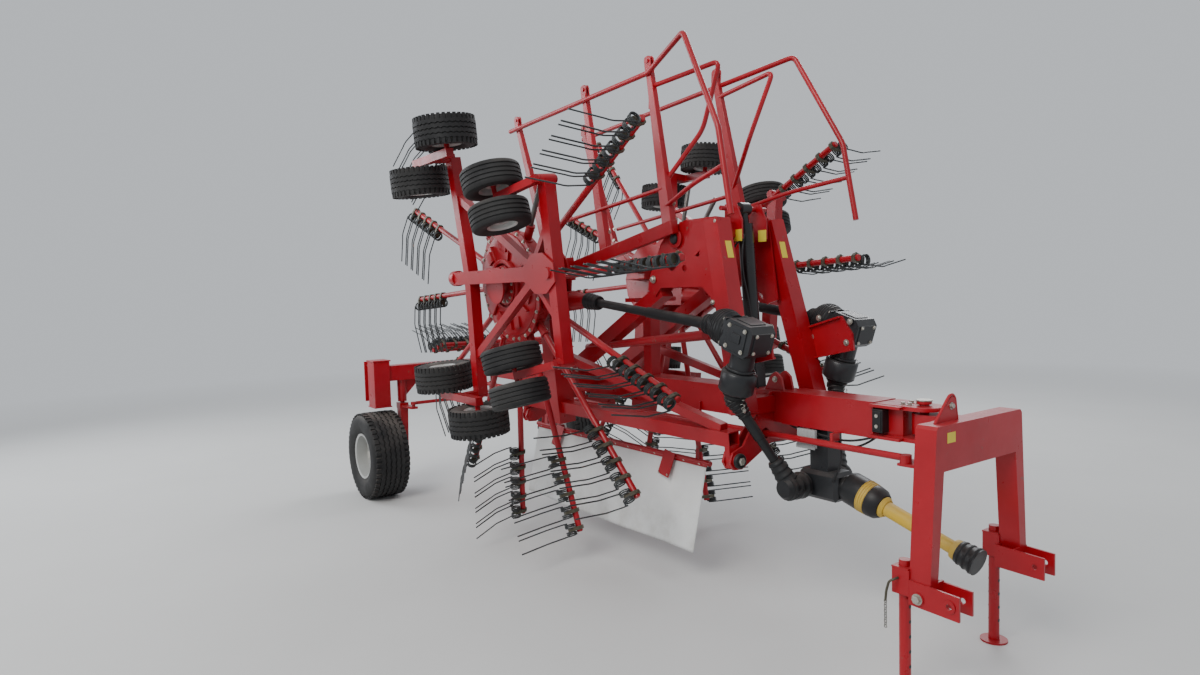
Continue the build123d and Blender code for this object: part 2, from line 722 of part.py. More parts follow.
def make_gearcase():
    inner_end = hub_s - 210
    inner = box_tube((hub_x, boom_inner_start, boom_z), (hub_x, inner_end + 20, boom_z), boom_box,
                     boom_box, 8,
                     side=(1, 0, 0))
    inner += slide_pads(boom_inner_start, boom_box / 2, boom_outer / 2 - boom_wall - pin_clearance)
    ring = Pos(hub_x, hub_s, -45) * Cylinder(270, 130)
    ring = chamfer(ring.edges(), 20)
    flange = extrude(Plane(origin=(hub_x, hub_s, 20)) * RegularPolygon(300, 12), amount=14)
    saddle = block(hub_x - 90, hub_x + 90, inner_end, hub_s - 120, -100, 90)
    column_length = column_top_z - chassis_top_z
    column = Pos(hub_x, hub_s, chassis_top_z + column_length / 2) * Cylinder(column_radius, column_length)
    inlet = block(hub_x + 180, hub_x + 430, hub_s - 230, hub_s - 90, -120, 10)
    boot = taper_round(Vector(hub_x + 428, hub_s - 160, -58), Vector(hub_x + 610, hub_s - 160, -60), 70, 50)
    return folded(inner + ring + flange + saddle + column + inlet + boot)


# Tine arms taken off for the road, kept on a rack across the rear end
spare_first_x = 120
spare_step_x = 100
spare_first_z = 1430
spare_step_z = 30
spare_tip_y = -560
spare_turn_deg = -115
spare_post_half = 24


def make_spare_arms(arm):
    half = spare_post_half
    last_x = spare_first_x + 2 * spare_step_x
    kept = block(spare_first_x - half, last_x + half, -12, 12, beam_top_z, spare_first_z)
    for i in range(3):
        x = spare_first_x + i * spare_step_x
        z = spare_first_z + i * spare_step_z
        kept += block(x - half, x + half, -12, 12, beam_top_z, z)
        kept += Pos(x, spare_tip_y + tip_radius, z) * Rot(0, 0, -90) * Rot(spare_turn_deg, 0, 0) * arm
    return kept


# Wheel chassis: long tube, front bar with caster sleeves and the swept rear bar
wing_root_x = -300
wing_end_x = (tandem_front_x + tandem_rear_x) / 2
spine_rear_x = -560
sleeve_radius = 36
caster_pin_radius = 17


def wing_x(y):
    """Where the middle of a wing lies, at a distance y from the spine."""
    return wing_root_x + (wing_end_x - wing_root_x) * y / tandem_beam_y


def make_undercarriage():
    zc = chassis_top_z - chassis_depth / 2
    low = chassis_top_z - chassis_depth
    spine = box_tube((spine_rear_x, 0, zc), (front_bar_x, 0, zc), 100, chassis_depth, 6)
    spine += Pos(spine_rear_x, 0, zc) * Rot(0, 90, 0) * Cylinder(62, 70)
    spine += bar((front_bar_x, -front_bar_half, zc), (front_bar_x, front_bar_half, zc), 90, 84,
                 side=(1, 0, 0))
    flange_low = chassis_top_z - column_flange_thick
    spine += Pos(0, -chassis_shift, (chassis_top_z + flange_low) / 2) * Cylinder(130, column_flange_thick)
    spine += block(-110, 110, -chassis_shift, 60, flange_low, chassis_top_z)
    rear, front = front_bar_x - 330, front_bar_x + 60
    gusset = [(rear, -50), (rear + 130, -135), (front - 120, -135), (front, -60),
              (front, 60), (front - 120, 135), (rear + 130, 135), (rear, 50)]
    frame = spine + plate_xy(gusset, low - 10, low)
    frame += rod((front_bar_x - 20, 0, low - 26), (front_bar_x - 20, 0, low - 10), 40)
    for side in (-1, 1):
        y = side * front_bar_half
        sleeve = Pos(front_bar_x, y, zc) * Cylinder(sleeve_radius, 120)
        sleeve -= Pos(front_bar_x, y, zc) * Cylinder(caster_pin_radius + pin_clearance, 130)
        frame -= Pos(front_bar_x, y, zc) * Cylinder(sleeve_radius, 118)
        frame += sleeve
        wing_y = side * tandem_beam_y
        frame += bar((wing_root_x, side * 20, zc), (wing_end_x, wing_y, zc), 90, chassis_depth - 6,
                     side=(1, 0, 0))
        brace_y = tandem_beam_y * brace_reach
        frame += bar((front_bar_x - 260, side * 40, zc), (wing_x(brace_y), side * brace_y, zc), 56, 56,
                     side=(0, 0, 1))
        frame += bar((front_bar_x - 250, side * 60, zc), (front_bar_x - 30, side * 300, zc), 56, 40,
                     side=(0, 0, 1))
        drop_low = axle_z + tandem_beam_size / 2
        frame += block(wing_end_x - 40, wing_end_x + 40, wing_y - 30, wing_y + 30, drop_low, zc)
        frame += block(tandem_rear_x - 40, tandem_front_x + 40, wing_y - tandem_beam_size / 2,
                       wing_y + tandem_beam_size / 2, axle_z - tandem_beam_size / 2, drop_low)
        for x, out in ((tandem_front_x, 1), (tandem_rear_x, -1)):
            start_y = wing_y + side * out * tandem_beam_size / 2
            end_y = start_y + side * out * (wheel_gap + tandem_tyre_width * 0.6)
            frame += rod((x, start_y, axle_z), (x, end_y, axle_z), 20)
    return folded(Pos(hub_x, hub_s + chassis_shift, 0) * frame)


def make_tandem_wheel(x, side, out):
    offset = tandem_beam_size / 2 + wheel_gap + tandem_tyre_width / 2
    y = side * (tandem_beam_y + out * offset)
    wheel = wheel_ring(tandem_tyre_radius, tandem_tyre_width, 21, 28, wheel_side_facets)
    return folded(Pos(hub_x + x, hub_s + chassis_shift + y, axle_z) * wheel)


def caster_place(side):
    y = hub_s + chassis_shift + side * front_bar_half
    return Pos(hub_x + front_bar_x, y, 0) * Rot(0, 0, caster_droop_deg)


def make_caster(side):
    zc = chassis_top_z - chassis_depth / 2
    pin = Pos(0, 0, zc - 5) * Cylinder(caster_pin_radius, 140)
    collar = Pos(0, 0, zc - 70) * Cylinder(sleeve_radius, 16)
    top = Pos(0, 0, zc + 68) * Cylinder(26, 10)
    arm = bar((-10, 0, zc - 86), (-caster_trail, 0, caster_axle_z), 50, 50)
    axle = rod((-caster_trail, -caster_wheel_spacing / 2 - 40, caster_axle_z),
               (-caster_trail, caster_wheel_spacing / 2 + 40, caster_axle_z), 16)
    nose = block(-35, 30, -25, 25, zc - 110, zc - 76)
    return folded(caster_place(side) * (pin + collar + top + arm + axle + nose))


def make_caster_wheels(side):
    wheel = wheel_ring(caster_tyre_radius, caster_tyre_width, 17, 24, wheel_side_facets)
    pair = []
    for edge in (-1, 1):
        one = Pos(-caster_trail, edge * caster_wheel_spacing / 2, caster_axle_z) * wheel
        pair.append(folded(caster_place(side) * one))
    return Compound(children=pair)


# Guard frame above each rotor
guard_z = 200


def make_guard():
    z = guard_z
    guard = box_tube((hub_x + 60, 1210, z), (3650, 1440, z), 60, 90, 5, side=(0, 0, 1))
    guard += box_tube((hub_x - 30, 1210, z), (2030, 1440, z), 60, 90, 5, side=(0, 0, 1))
    guard += block(hub_x - 110, hub_x + 140, 1120, 1300, 34, z - 25)
    # each post: foot x and s, then top x, s and z
    posts = ((2050, 1400, 1640, 2470, 290), (2860, 1300, 2640, 2510, 310), (3600, 1430, 3387, 2537, 330))
    for foot_x, foot_s, top_x, top_s, top_z in posts:
        guard += taper((foot_x, foot_s, z), (top_x, top_s, top_z), (50, 100), (40, 50), side=(0, 0, 1))
        for edge in (-18, 8):
            guard += block(top_x - 32, top_x + 32, top_s - 30, top_s + 62, top_z + edge, top_z + edge + 10)
        guard += rod((top_x, top_s + 36, top_z - 24), (top_x, top_s + 36, top_z + 24), 14)
    rail = [(1560, 2425, 250), (3400, 2490, 300), (3945, 2598, 143), (4293, 1969, 27), (4387, 1464, -22)]
    guard += bent_tube(rail, 18, 40)
    hoop = [(3420, 2400, 320), (3990, 2430, 390), (3800, 2040, 380), (3500, 1700, 230)]
    guard += bent_tube(hoop, 16, 60)
    guard += flat_rod((3570, 1580, z + 10), (4335, 1745, 3), 15)
    guard += flat_rod((2090, 1560, z), (3540, 1700, z + 20), 15)
    return folded(guard)


def make_curtain_frame():
    y = -150
    z = 800
    rail = rod((1480, y, z), (3740, y, z), 18)
    for x in (1560, 3600):
        edge = -beam_width / 2
        rail += plate_yz([(y - 12, z), (y + 12, z), (edge - 2, beam_bottom_z - 20), (edge, beam_bottom_z),
                          (edge, beam_bottom_z + 60), (edge - 16, beam_bottom_z + 60),
                          (edge - 22, beam_bottom_z - 10)], x, x + 10)
    return rail


def make_curtain():
    y = -150
    z = 800
    face = make_face(Polyline((1500, y - 4, z - 18.3), (1500, y + 4, z - 18.3), (1500, y - 136, 205),
                              (1500, y - 144, 205), close=True))
    return extrude(face, amount=2200, dir=(1, 0, 0))


def main():
    save("main_beam", make_beam())
    save("fold_brackets", make_fold_brackets())
    save("tower_legs", make_tower_legs())
    save("tower_stays", make_tower_stays())
    save("rear_axle", make_rear_axle())
    save_pair("knuckle", make_knuckle())
    save_pair("road_rim", make_road_rim())
    save_pair("road_tyre", make_road_tyre())
    save("tie_rod", make_tie_rod())
    save("steering_bellcrank", make_bellcrank())
    save("steering_push_rod", make_push_rod())
    save("headstock", make_headstock())
    save("ground_leg_left", make_ground_leg(1))
    save("ground_leg_right", make_ground_leg(-1))
    save("central_gearbox", make_central_gearbox())
    save("side_shafts", make_side_shafts())
    save("side_gearboxes", make_side_gearboxes())
    save_pair("drive_shaft", make_drive_shaft())
    save("input_shaft", make_input_shaft())
    save("lift_cylinder", make_lift_cylinder())
    save("curtain_frame", make_curtain_frame())
    save("swath_curtain", make_curtain())
    save_pair("fold_frame", make_fold_frame())
    save_pair("gearcase", make_gearcase())
    save_pair("rotor_hub", make_rotor_hub())
    arm = make_tine_arm()
    save_pair("tine_arms", make_tine_arms(arm))
    save("spare_tine_arms", make_spare_arms(arm))
    save_pair("undercarriage", make_undercarriage())
    save_pair("guard_frame", make_guard())
    for level, side in (("top", 1), ("low", -1)):
        save_pair(f"caster_{level}", make_caster(side))
        save_pair(f"caster_wheels_{level}", make_caster_wheels(side))
        save_pair(f"tandem_front_{level}", make_tandem_wheel(tandem_front_x, side, 1))
        save_pair(f"tandem_rear_{level}", make_tandem_wheel(tandem_rear_x, side, -1))


main()
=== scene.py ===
import json
import math

import bpy
from mathutils import Matrix, Vector


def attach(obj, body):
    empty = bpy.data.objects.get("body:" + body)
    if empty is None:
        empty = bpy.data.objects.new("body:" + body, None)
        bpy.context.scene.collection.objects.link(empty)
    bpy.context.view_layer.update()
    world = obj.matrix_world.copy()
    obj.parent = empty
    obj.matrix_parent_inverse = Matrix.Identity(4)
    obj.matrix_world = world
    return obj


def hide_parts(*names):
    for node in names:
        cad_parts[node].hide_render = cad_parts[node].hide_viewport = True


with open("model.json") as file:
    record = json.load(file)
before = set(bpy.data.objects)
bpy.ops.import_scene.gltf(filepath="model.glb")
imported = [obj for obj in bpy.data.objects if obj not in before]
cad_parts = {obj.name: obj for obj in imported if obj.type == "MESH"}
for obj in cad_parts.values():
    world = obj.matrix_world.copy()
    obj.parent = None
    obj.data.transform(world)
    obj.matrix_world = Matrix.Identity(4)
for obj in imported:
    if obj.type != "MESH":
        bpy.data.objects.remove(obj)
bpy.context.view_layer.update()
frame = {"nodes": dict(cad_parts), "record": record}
cad = frame["nodes"]

# Places shared with the solids, in metres. Forward X is counted from the rear axle, and WHOLE moves
# it to the middle of the machine. A rotor's places are those of its unfolded frame: LEFT folds them.
MIDDLE_X = 2.625
FOLD_Y, FOLD_Z, FOLD_DEG = 0.42, 0.95, 85
HUB_X, HUB_S = 2.32, 1.14
ARM_Z = -0.28
ARM_PLACES = 14
FIRST_ARM_DEG = 3.3
# Place of each arm on its hub, and how far the cam has turned it; the places left out have no arm
ARM_TURNS = {0: 0, 1: 0, 5: 62, 6: 74, 7: 80, 8: 74, 9: 45, 10: 12, 11: 0, 12: 0, 13: 0}
ARM_START, ARM_END, ARM_RADIUS = 0.52, 1.92, 0.023
TINES_ALONG, TINE_INNER, TINE_PITCH = 5, 1.378, 0.128
WIRE_RADIUS = 0.0052
# X and Z of the arms that lie on the rack, taken off for the road
SPARE_ARMS = ((0.12, 1.43), (0.22, 1.46), (0.32, 1.49))
SPARE_ROOT_Y, SPARE_TURN_DEG = 1.36, -115
HUB_RIBS, HUB_PLATE_RADIUS = 7, 0.445
ROAD_RADIUS, ROAD_WIDTH, ROAD_RIM, ROAD_Y = 0.425, 0.37, 0.222, 1.13
TANDEM_RADIUS, TANDEM_WIDTH, TANDEM_RIM = 0.23, 0.21, 0.105
CASTER_RADIUS, CASTER_WIDTH, CASTER_RIM = 0.205, 0.165, 0.1
CASTER_SPACING, CASTER_TRAIL, CASTER_DROOP = 0.25, 0.32, 14
CHASSIS_SHIFT = 0.08
FRONT_BAR_X, FRONT_BAR_HALF = 0.93, 0.6
TANDEM_X = {"front": -0.1, "rear": -0.66}
TANDEM_BEAM_Y, TANDEM_OFFSET = 0.93, 0.147
AXLE_Z, CASTER_AXLE_Z = -0.68, -0.715
BEAM_TOP_Z = 1.34
FRONT_BRACKET_X, REAR_BRACKET_X, BRACKET_HALF = 4.22, 1.8, 0.048
SHAFT_LEVEL_Z, SIDE_SHAFT_X = 0.8, 4.5
INPUT_X, INPUT_TILT, INPUT_LENGTH = 4.79, 17.5, 0.76
HEAD_PIVOT_X, HEAD_PLATE_Y = 5.22, 0.462
LEG_X, LEG_Y = 5.375, 0.42

WHOLE = Matrix.Translation((-MIDDLE_X, 0, 0))
LEFT = Matrix.Translation((-MIDDLE_X, FOLD_Y, FOLD_Z)) @ Matrix.Rotation(math.radians(FOLD_DEG), 4, "X")
MIRROR = Matrix.Scale(-1, 4, (0, 1, 0))
SIDES = (("left", Matrix()), ("right", MIRROR))


def turn(degrees, axis):
    return Matrix.Rotation(math.radians(degrees), 4, axis)


def at(x, y, z):
    return Matrix.Translation((x, y, z))


def new_object(name, data):
    made = bpy.data.objects.new(name, data)
    bpy.context.scene.collection.objects.link(made)
    return made


SIDE_BOX = at(4.41, 0.475, 1.7) @ turn(18, "Y")
ROAD_WHEEL = at(-MIDDLE_X, ROAD_Y, ROAD_RADIUS)


# Camera, floor and light
CAMERA_PLACE = (4.9175, -3.75, 1.997)
CAMERA_LENS, SENSOR_WIDTH = 23.25, 36
BACKDROP = (0.86, 0.9, 0.95)
BACKDROP_LIGHT = 0.7
FLOOR_HALF, FLOOR_DEPTH = 60, 0.05
FLOOR_FADE = (7.0, 16.0)
# name, place, aim, size, power, colour
LIGHTS = (("key", (3.5, -9, 9), (0, 0, 1.4), 7, 950, (1, 0.98, 0.95)),
          ("fill", (-8, -5, 5), (0, 0, 1.5), 6, 350, (0.93, 0.96, 1)),
          ("back", (-3, 8, 8), (0, 0, 2), 6, 500, (0.95, 0.97, 1)))


def add_camera():
    data = bpy.data.cameras.new("camera")
    data.sensor_width = SENSOR_WIDTH
    data.lens = CAMERA_LENS
    camera = new_object("camera", data)
    right = Vector((0.5815, 0.8131, -0.0274))
    up = Vector((-0.0337, 0.0578, 0.9978))
    back = Vector((0.8129, -0.5792, 0.0611))
    rows = Matrix((right, up, back)).transposed().to_4x4()
    camera.matrix_world = at(*CAMERA_PLACE) @ rows
    bpy.context.scene.camera = camera


def add_light(name, place, aim, size, power, colour):
    data = bpy.data.lights.new(name, "AREA")
    data.shape = "DISK"
    data.size = size
    data.energy = power
    data.color = colour
    light = new_object(name, data)
    light.location = place
    light.rotation_euler = (Vector(aim) - Vector(place)).to_track_quat("-Z", "Y").to_euler()


def add_world():
    world = bpy.data.worlds.new("studio")
    bpy.context.scene.world = world
    world.use_nodes = True
    background = world.node_tree.nodes["Background"]
    background.inputs["Color"].default_value = (*BACKDROP, 1)
    background.inputs["Strength"].default_value = BACKDROP_LIGHT


# Materials
SHINE = 0.33
DUST = (0.36, 0.31, 0.27, 1)


class Nodes:
    """Short calls for building one node material."""

    def __init__(self, name):
        self.material = bpy.data.materials.new(name)
        self.material.use_nodes = True
        self.tree = self.material.node_tree
        self.shader = self.tree.nodes["Principled BSDF"]
        coords = self.tree.nodes.new("ShaderNodeTexCoord")
        self.coords = coords.outputs["Object"]

    def new(self, kind, links=None, **values):
        node = self.tree.nodes.new(kind)
        for key, value in values.items():
            setattr(node, key, value)
        for key, value in (links or {}).items():
            socket = node.inputs[key]
            if isinstance(value, bpy.types.NodeSocket):
                self.tree.links.new(value, socket)
            else:
                socket.default_value = value
        return node

    def noise(self, scale, detail=4):
        links = {"Vector": self.coords, "Scale": scale, "Detail": detail, "Roughness": 0.6}
        return self.new("ShaderNodeTexNoise", links).outputs["Fac"]

    def ramp(self, value, low, high, to_low=0.0, to_high=1.0):
        links = {"Value": value, "From Min": low, "From Max": high, "To Min": to_low, "To Max": to_high}
        return self.new("ShaderNodeMapRange", links).outputs["Result"]

    def math(self, operation, a, b):
        return self.new("ShaderNodeMath", {0: a, 1: b}, operation=operation).outputs[0]

    def mix(self, factor, a, b):
        node = self.new("ShaderNodeMix", data_type="RGBA")
        for socket, value in (("Factor", factor), ("A", a), ("B", b)):
            found = [s for s in node.inputs if s.name == socket and s.enabled][0]
            if isinstance(value, bpy.types.NodeSocket):
                self.tree.links.new(value, found)
            else:
                found.default_value = value
        return [s for s in node.outputs if s.enabled][0]

    def bump(self, height, strength, distance=0.001):
        links = {"Height": height, "Strength": strength, "Distance": distance}
        normal = self.new("ShaderNodeBump", links).outputs["Normal"]
        self.tree.links.new(normal, self.shader.inputs["Normal"])

    def link(self, value, socket):
        self.tree.links.new(value, self.shader.inputs[socket])

    def facing_up(self):
        geometry = self.new("ShaderNodeNewGeometry")
        split = self.new("ShaderNodeSeparateXYZ", {0: geometry.outputs["Normal"]})
        return split.outputs["Z"]


def finish(name, deep, light, rough, metallic=0.0, dust=0.2, chips=None, grain=220, bump=0.08, coat=0.0):
    """Surface with patchy colour, dust on what faces up, chips, and fine relief."""
    n = Nodes(name)
    patches = n.ramp(n.noise(1.6, 6), 0.4, 0.66)
    colour = n.mix(patches, (*deep, 1), (*light, 1))
    fine = n.noise(grain, 3)
    if chips:
        flakes = n.ramp(n.math("MULTIPLY", n.noise(38, 7), n.noise(9, 2)), 0.41, 0.44)
        colour = n.mix(flakes, colour, (*chips, 1))
    settled = n.math("MULTIPLY", n.ramp(n.facing_up(), 0.2, 0.95), n.ramp(n.noise(5, 6), 0.35, 0.7))
    colour = n.mix(n.math("MULTIPLY", settled, dust), colour, DUST)
    n.link(colour, "Base Color")
    n.link(n.ramp(n.noise(7, 5), 0.3, 0.7, rough[0], rough[1]), "Roughness")
    n.shader.inputs["Metallic"].default_value = metallic
    n.shader.inputs["Specular IOR Level"].default_value = SHINE
    n.shader.inputs["Coat Weight"].default_value = coat
    n.shader.inputs["Coat Roughness"].default_value = 0.25
    n.bump(fine, bump)
    return n.material


def cloth_finish():
    """Coated woven cloth, off-white, with splashes near its lower edge."""
    n = Nodes("coated_cloth")
    low = n.ramp(n.new("ShaderNodeSeparateXYZ", {0: n.coords}).outputs["Z"], 0.62, 0.2)
    dirt = n.math("MULTIPLY", n.ramp(n.noise(6, 8), 0.45, 0.75), low)
    colour = n.mix(n.ramp(n.noise(2.2, 5), 0.35, 0.7), (0.76, 0.77, 0.76, 1), (0.66, 0.67, 0.66, 1))
    colour = n.mix(n.math("MULTIPLY", dirt, 0.5), colour, (0.3, 0.27, 0.22, 1))
    n.link(colour, "Base Color")
    n.link(n.ramp(n.noise(8, 4), 0.3, 0.7, 0.42, 0.62), "Roughness")
    threads = {"Vector": n.coords, "Scale": 260.0, "Distortion": 0.4}
    warp = n.new("ShaderNodeTexWave", threads, bands_direction="X")
    weft = n.new("ShaderNodeTexWave", threads, bands_direction="Z")
    weave = n.math("ADD", warp.outputs["Fac"], weft.outputs["Fac"])
    n.bump(weave, 0.25, 0.0004)
    return n.material


def floor_finish():
    """Pale matt floor that turns into the backdrop's tone far from the machine."""
    n = Nodes("floor")
    colour = n.mix(n.noise(0.5, 4), (0.56, 0.56, 0.55, 1), (0.64, 0.64, 0.63, 1))
    n.link(colour, "Base Color")
    n.shader.inputs["Roughness"].default_value = 0.8
    reach = n.new("ShaderNodeVectorMath", {0: n.coords}, operation="LENGTH").outputs["Value"]
    glow = n.new("ShaderNodeEmission", {"Color": (*BACKDROP, 1), "Strength": BACKDROP_LIGHT}).outputs[0]
    fade = n.ramp(reach, *FLOOR_FADE)
    out = n.tree.nodes["Material Output"]
    mixed = n.new("ShaderNodeMixShader", {0: fade, 1: n.shader.outputs[0], 2: glow}).outputs[0]
    n.tree.links.new(mixed, out.inputs["Surface"])
    return n.material


paint = finish("red_paint", (0.3, 0.003, 0.009), (0.4, 0.007, 0.016), (0.26, 0.44), dust=0.12,
               chips=(0.2, 0.06, 0.05), coat=0.18)
tine_steel = finish("tine_steel", (0.028, 0.03, 0.031), (0.06, 0.066, 0.068), (0.38, 0.6), metallic=0.35,
                    dust=0.12, chips=(0.2, 0.13, 0.09))
casting = finish("black_casting", (0.017, 0.018, 0.02), (0.036, 0.038, 0.041), (0.26, 0.42), dust=0.18,
                 bump=0.2, grain=90)
black_paint = finish("black_paint", (0.008, 0.008, 0.009), (0.02, 0.02, 0.021), (0.22, 0.4), dust=0.1, coat=0.3)
rubber = finish("tyre_rubber", (0.014, 0.014, 0.015), (0.032, 0.031, 0.03), (0.6, 0.85), dust=0.3, bump=0.15,
                grain=160)
plastic = finish("black_plastic", (0.009, 0.0095, 0.0105), (0.02, 0.0205, 0.022), (0.32, 0.5), dust=0.22)
yellow = finish("yellow_plastic", (0.62, 0.4, 0.02), (0.5, 0.36, 0.1), (0.4, 0.6), dust=0.35)
rim_grey = finish("rim_grey", (0.5, 0.51, 0.5), (0.4, 0.4, 0.38), (0.35, 0.55), metallic=0.3, dust=0.35,
                  chips=(0.3, 0.26, 0.22))
steel = finish("worn_steel", (0.2, 0.195, 0.19), (0.12, 0.11, 0.1), (0.3, 0.5), metallic=0.9, dust=0.2)
clamp_steel = finish("clamp_steel", (0.075, 0.07, 0.05), (0.13, 0.12, 0.085), (0.4, 0.6), metallic=0.5,
                     dust=0.2, chips=(0.2, 0.12, 0.08))
zinc = finish("zinc_plate", (0.5, 0.48, 0.42), (0.42, 0.4, 0.36), (0.3, 0.45), metallic=0.8, dust=0.2)
sticker = finish("blank_label", (0.72, 0.58, 0.05), (0.66, 0.52, 0.06), (0.4, 0.55), dust=0.2)
cloth = cloth_finish()
hose_rubber = finish("hose_rubber", (0.012, 0.012, 0.013), (0.025, 0.025, 0.027), (0.35, 0.5), dust=0.15)
clear_box = finish("clear_box", (0.5, 0.52, 0.52), (0.38, 0.4, 0.4), (0.15, 0.3), dust=0.4)
floor_paint = floor_finish()

SLOT_MATERIALS = {"red_paint": paint, "tyre_rubber": rubber, "rim_grey": rim_grey, "black_casting": casting,
                  "black_plastic": plastic, "yellow_plastic": yellow, "curtain_sheet": cloth}


# Building blocks
class Shape:
    """Points and faces of one piece, gathered form by form."""

    def __init__(self, place=Matrix()):
        self.points = []
        self.faces = []
        self.place = place

    def add(self, form, place=Matrix()):
        points, faces = form
        whole = self.place @ place
        start = len(self.points)
        flip = whole.determinant() < 0
        self.points += [whole @ Vector(p) for p in points]
        self.faces += [tuple(start + i for i in (face[::-1] if flip else face)) for face in faces]
        return self


def shapes(count, place=Matrix()):
    return [Shape(place) for _ in range(count)]


def soften(made, width, degrees):
    """Round the edges that are sharper than degrees."""
    edges = made.modifiers.new("edges", "BEVEL")
    edges.width = width
    edges.segments = 2
    edges.limit_method = "ANGLE"
    edges.angle_limit = math.radians(degrees)


def piece(name, shape, body, material, replaces=(), bevel=0.0, smooth_deg=35):
    mesh = bpy.data.meshes.new(name)
    mesh.from_pydata(shape.points, [], shape.faces)
    mesh.validate()
    mesh.materials.append(material)
    mesh.shade_smooth()
    mesh.set_sharp_from_angle(angle=math.radians(smooth_deg))
    made = new_object(name, mesh)
    if bevel:
        soften(made, bevel, 30)
    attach(made, body)
    if replaces:
        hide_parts(*replaces)
    return made


def ring_faces(rings, sides, closed_loop=False):
    """Four-sided faces between rings of points, one ring after the other."""
    faces = []
    last = rings if closed_loop else rings - 1
    for i in range(last):
        a, b = i * sides, (i + 1) % rings * sides
        for k in range(sides):
            m = (k + 1) % sides
            faces.append((a + k, a + m, b + m, b + k))
    return faces


def lathe(profile, sides, closed=False):
    """Turned form about the Y axis from (radius, y) points."""
    points = []
    for radius, y in profile:
        for k in range(sides):
            a = 2 * math.pi * k / sides
            points.append((radius * math.cos(a), y, radius * math.sin(a)))
    faces = ring_faces(len(profile), sides, closed)
    if not closed:
        faces.append(tuple(range(sides))[::-1])
        faces.append(tuple(range((len(profile) - 1) * sides, len(profile) * sides)))
    return points, faces


def disc(inner, outer, low, high, sides):
    return lathe([(inner, low), (outer, low), (outer, high), (inner, high)], sides)


def chain_link(outer, inner, half):
    return lathe([(outer, -half), (outer, half), (inner, half), (inner, -half)], 12, closed=True)


def rod(path, radius, sides=8):
    """Round bar along a path, its ends closed; radius is one number or one for each point."""
    path = [Vector(p) for p in path]
    radii = radius if isinstance(radius, (list, tuple)) else [radius] * len(path)
    along = []
    for i in range(len(path)):
        a = path[max(i - 1, 0)]
        b = path[min(i + 1, len(path) - 1)]
        along.append((b - a).normalized())
    side = along[0].orthogonal().normalized()
    points = []
    for i, centre in enumerate(path):
        side = (side - along[i] * side.dot(along[i])).normalized()
        other = along[i].cross(side)
        for k in range(sides):
            a = 2 * math.pi * k / sides
            points.append(centre + (side * math.cos(a) + other * math.sin(a)) * radii[i])
    faces = ring_faces(len(path), sides)
    faces += [tuple(range(sides))[::-1], tuple(range((len(path) - 1) * sides, len(path) * sides))]
    return points, faces


def prism(outline, low, high):
    """Flat plate from an outline of (x, z) points between two Y faces."""
    count = len(outline)
    points = [(x, low, z) for x, z in outline] + [(x, high, z) for x, z in outline]
    faces = [tuple(range(count)), tuple(range(count, 2 * count))[::-1]]
    for i in range(count):
        m = (i + 1) % count
        faces.append((i, i + count, m + count, m))
    area = sum(outline[i][0] * outline[(i + 1) % count][1] - outline[(i + 1) % count][0] * outline[i][1]
               for i in range(count))
    if area < 0:
        faces = [face[::-1] for face in faces]
    return points, faces


def box(x0, x1, y0, y1, z0, z1):
    return prism([(x0, z0), (x1, z0), (x1, z1), (x0, z1)], y0, y1)


def bolt(radius=0.011, height=0.009):
    """Hexagon head on a washer, standing along Y from Y = 0."""
    washer = lathe([(radius * 1.5, 0), (radius * 1.5, radius * 0.2)], 16)
    head = lathe([(radius * 1.1, radius * 0.2), (radius * 1.1, height), (radius * 0.9, height * 1.15)], 6)
    both = Shape().add(washer).add(head)
    return both.points, both.faces


# Tine arms
COIL_RADIUS, COIL_TURNS, COIL_STEPS, COIL_PITCH = 0.036, 2.5, 14, 0.0124
# how far down the shank, and how far it has bent back there
SHANK = ((0.05, 0), (0.17, 0.001), (0.2, 0.006), (0.23, 0.016), (0.34, 0.046), (0.448, 0.076))
CLAMP_OUTLINE = [(-0.028, -0.08), (0.01, -0.086), (0.031, -0.02), (0.033, 0.012), (0.014, 0.033),
                 (-0.022, 0.03), (-0.034, -0.012)]


def tine_wire():
    """One tine: a coil round X, then a straight shank with a knee, hanging in -Z."""
    path = []
    for i in range(int(COIL_TURNS * COIL_STEPS) + 1):
        a = -2 * math.pi * i / COIL_STEPS
        path.append((COIL_PITCH * (i / COIL_STEPS), COIL_RADIUS * math.cos(a), COIL_RADIUS * math.sin(a)))
    x = path[-1][0] + COIL_PITCH * 0.2
    y = path[-1][1]
    for drop, lean in SHANK:
        path.append((x, y + lean, -drop))
    return rod(path, WIRE_RADIUS, 6)


def tine_arm_forms():
    """(tube, clamps, tines): the parts of one arm along X, from the hub outwards."""
    tube, clamps, tines = shapes(3)
    tube.add(rod([(ARM_START - 0.03, 0, 0), (ARM_END - 0.004, 0, 0), (ARM_END, 0, 0)],
                 [ARM_RADIUS, ARM_RADIUS, ARM_RADIUS * 0.85], 20))
    wire = tine_wire()
    for i in range(TINES_ALONG):
        x = TINE_INNER + i * TINE_PITCH
        clamps.add(prism(CLAMP_OUTLINE, -0.013, 0.013), at(x, 0, 0) @ turn(90, "Z"))
        clamps.add(bolt(0.009, 0.01), at(x, 0.028, -0.006))
        for side in (-1, 1):
            tines.add(wire, at(x + side * 0.014, -0.01, -0.066) @ Matrix.Scale(side, 4, (1, 0, 0)))
    return [(form.points, form.faces) for form in (tube, clamps, tines)]


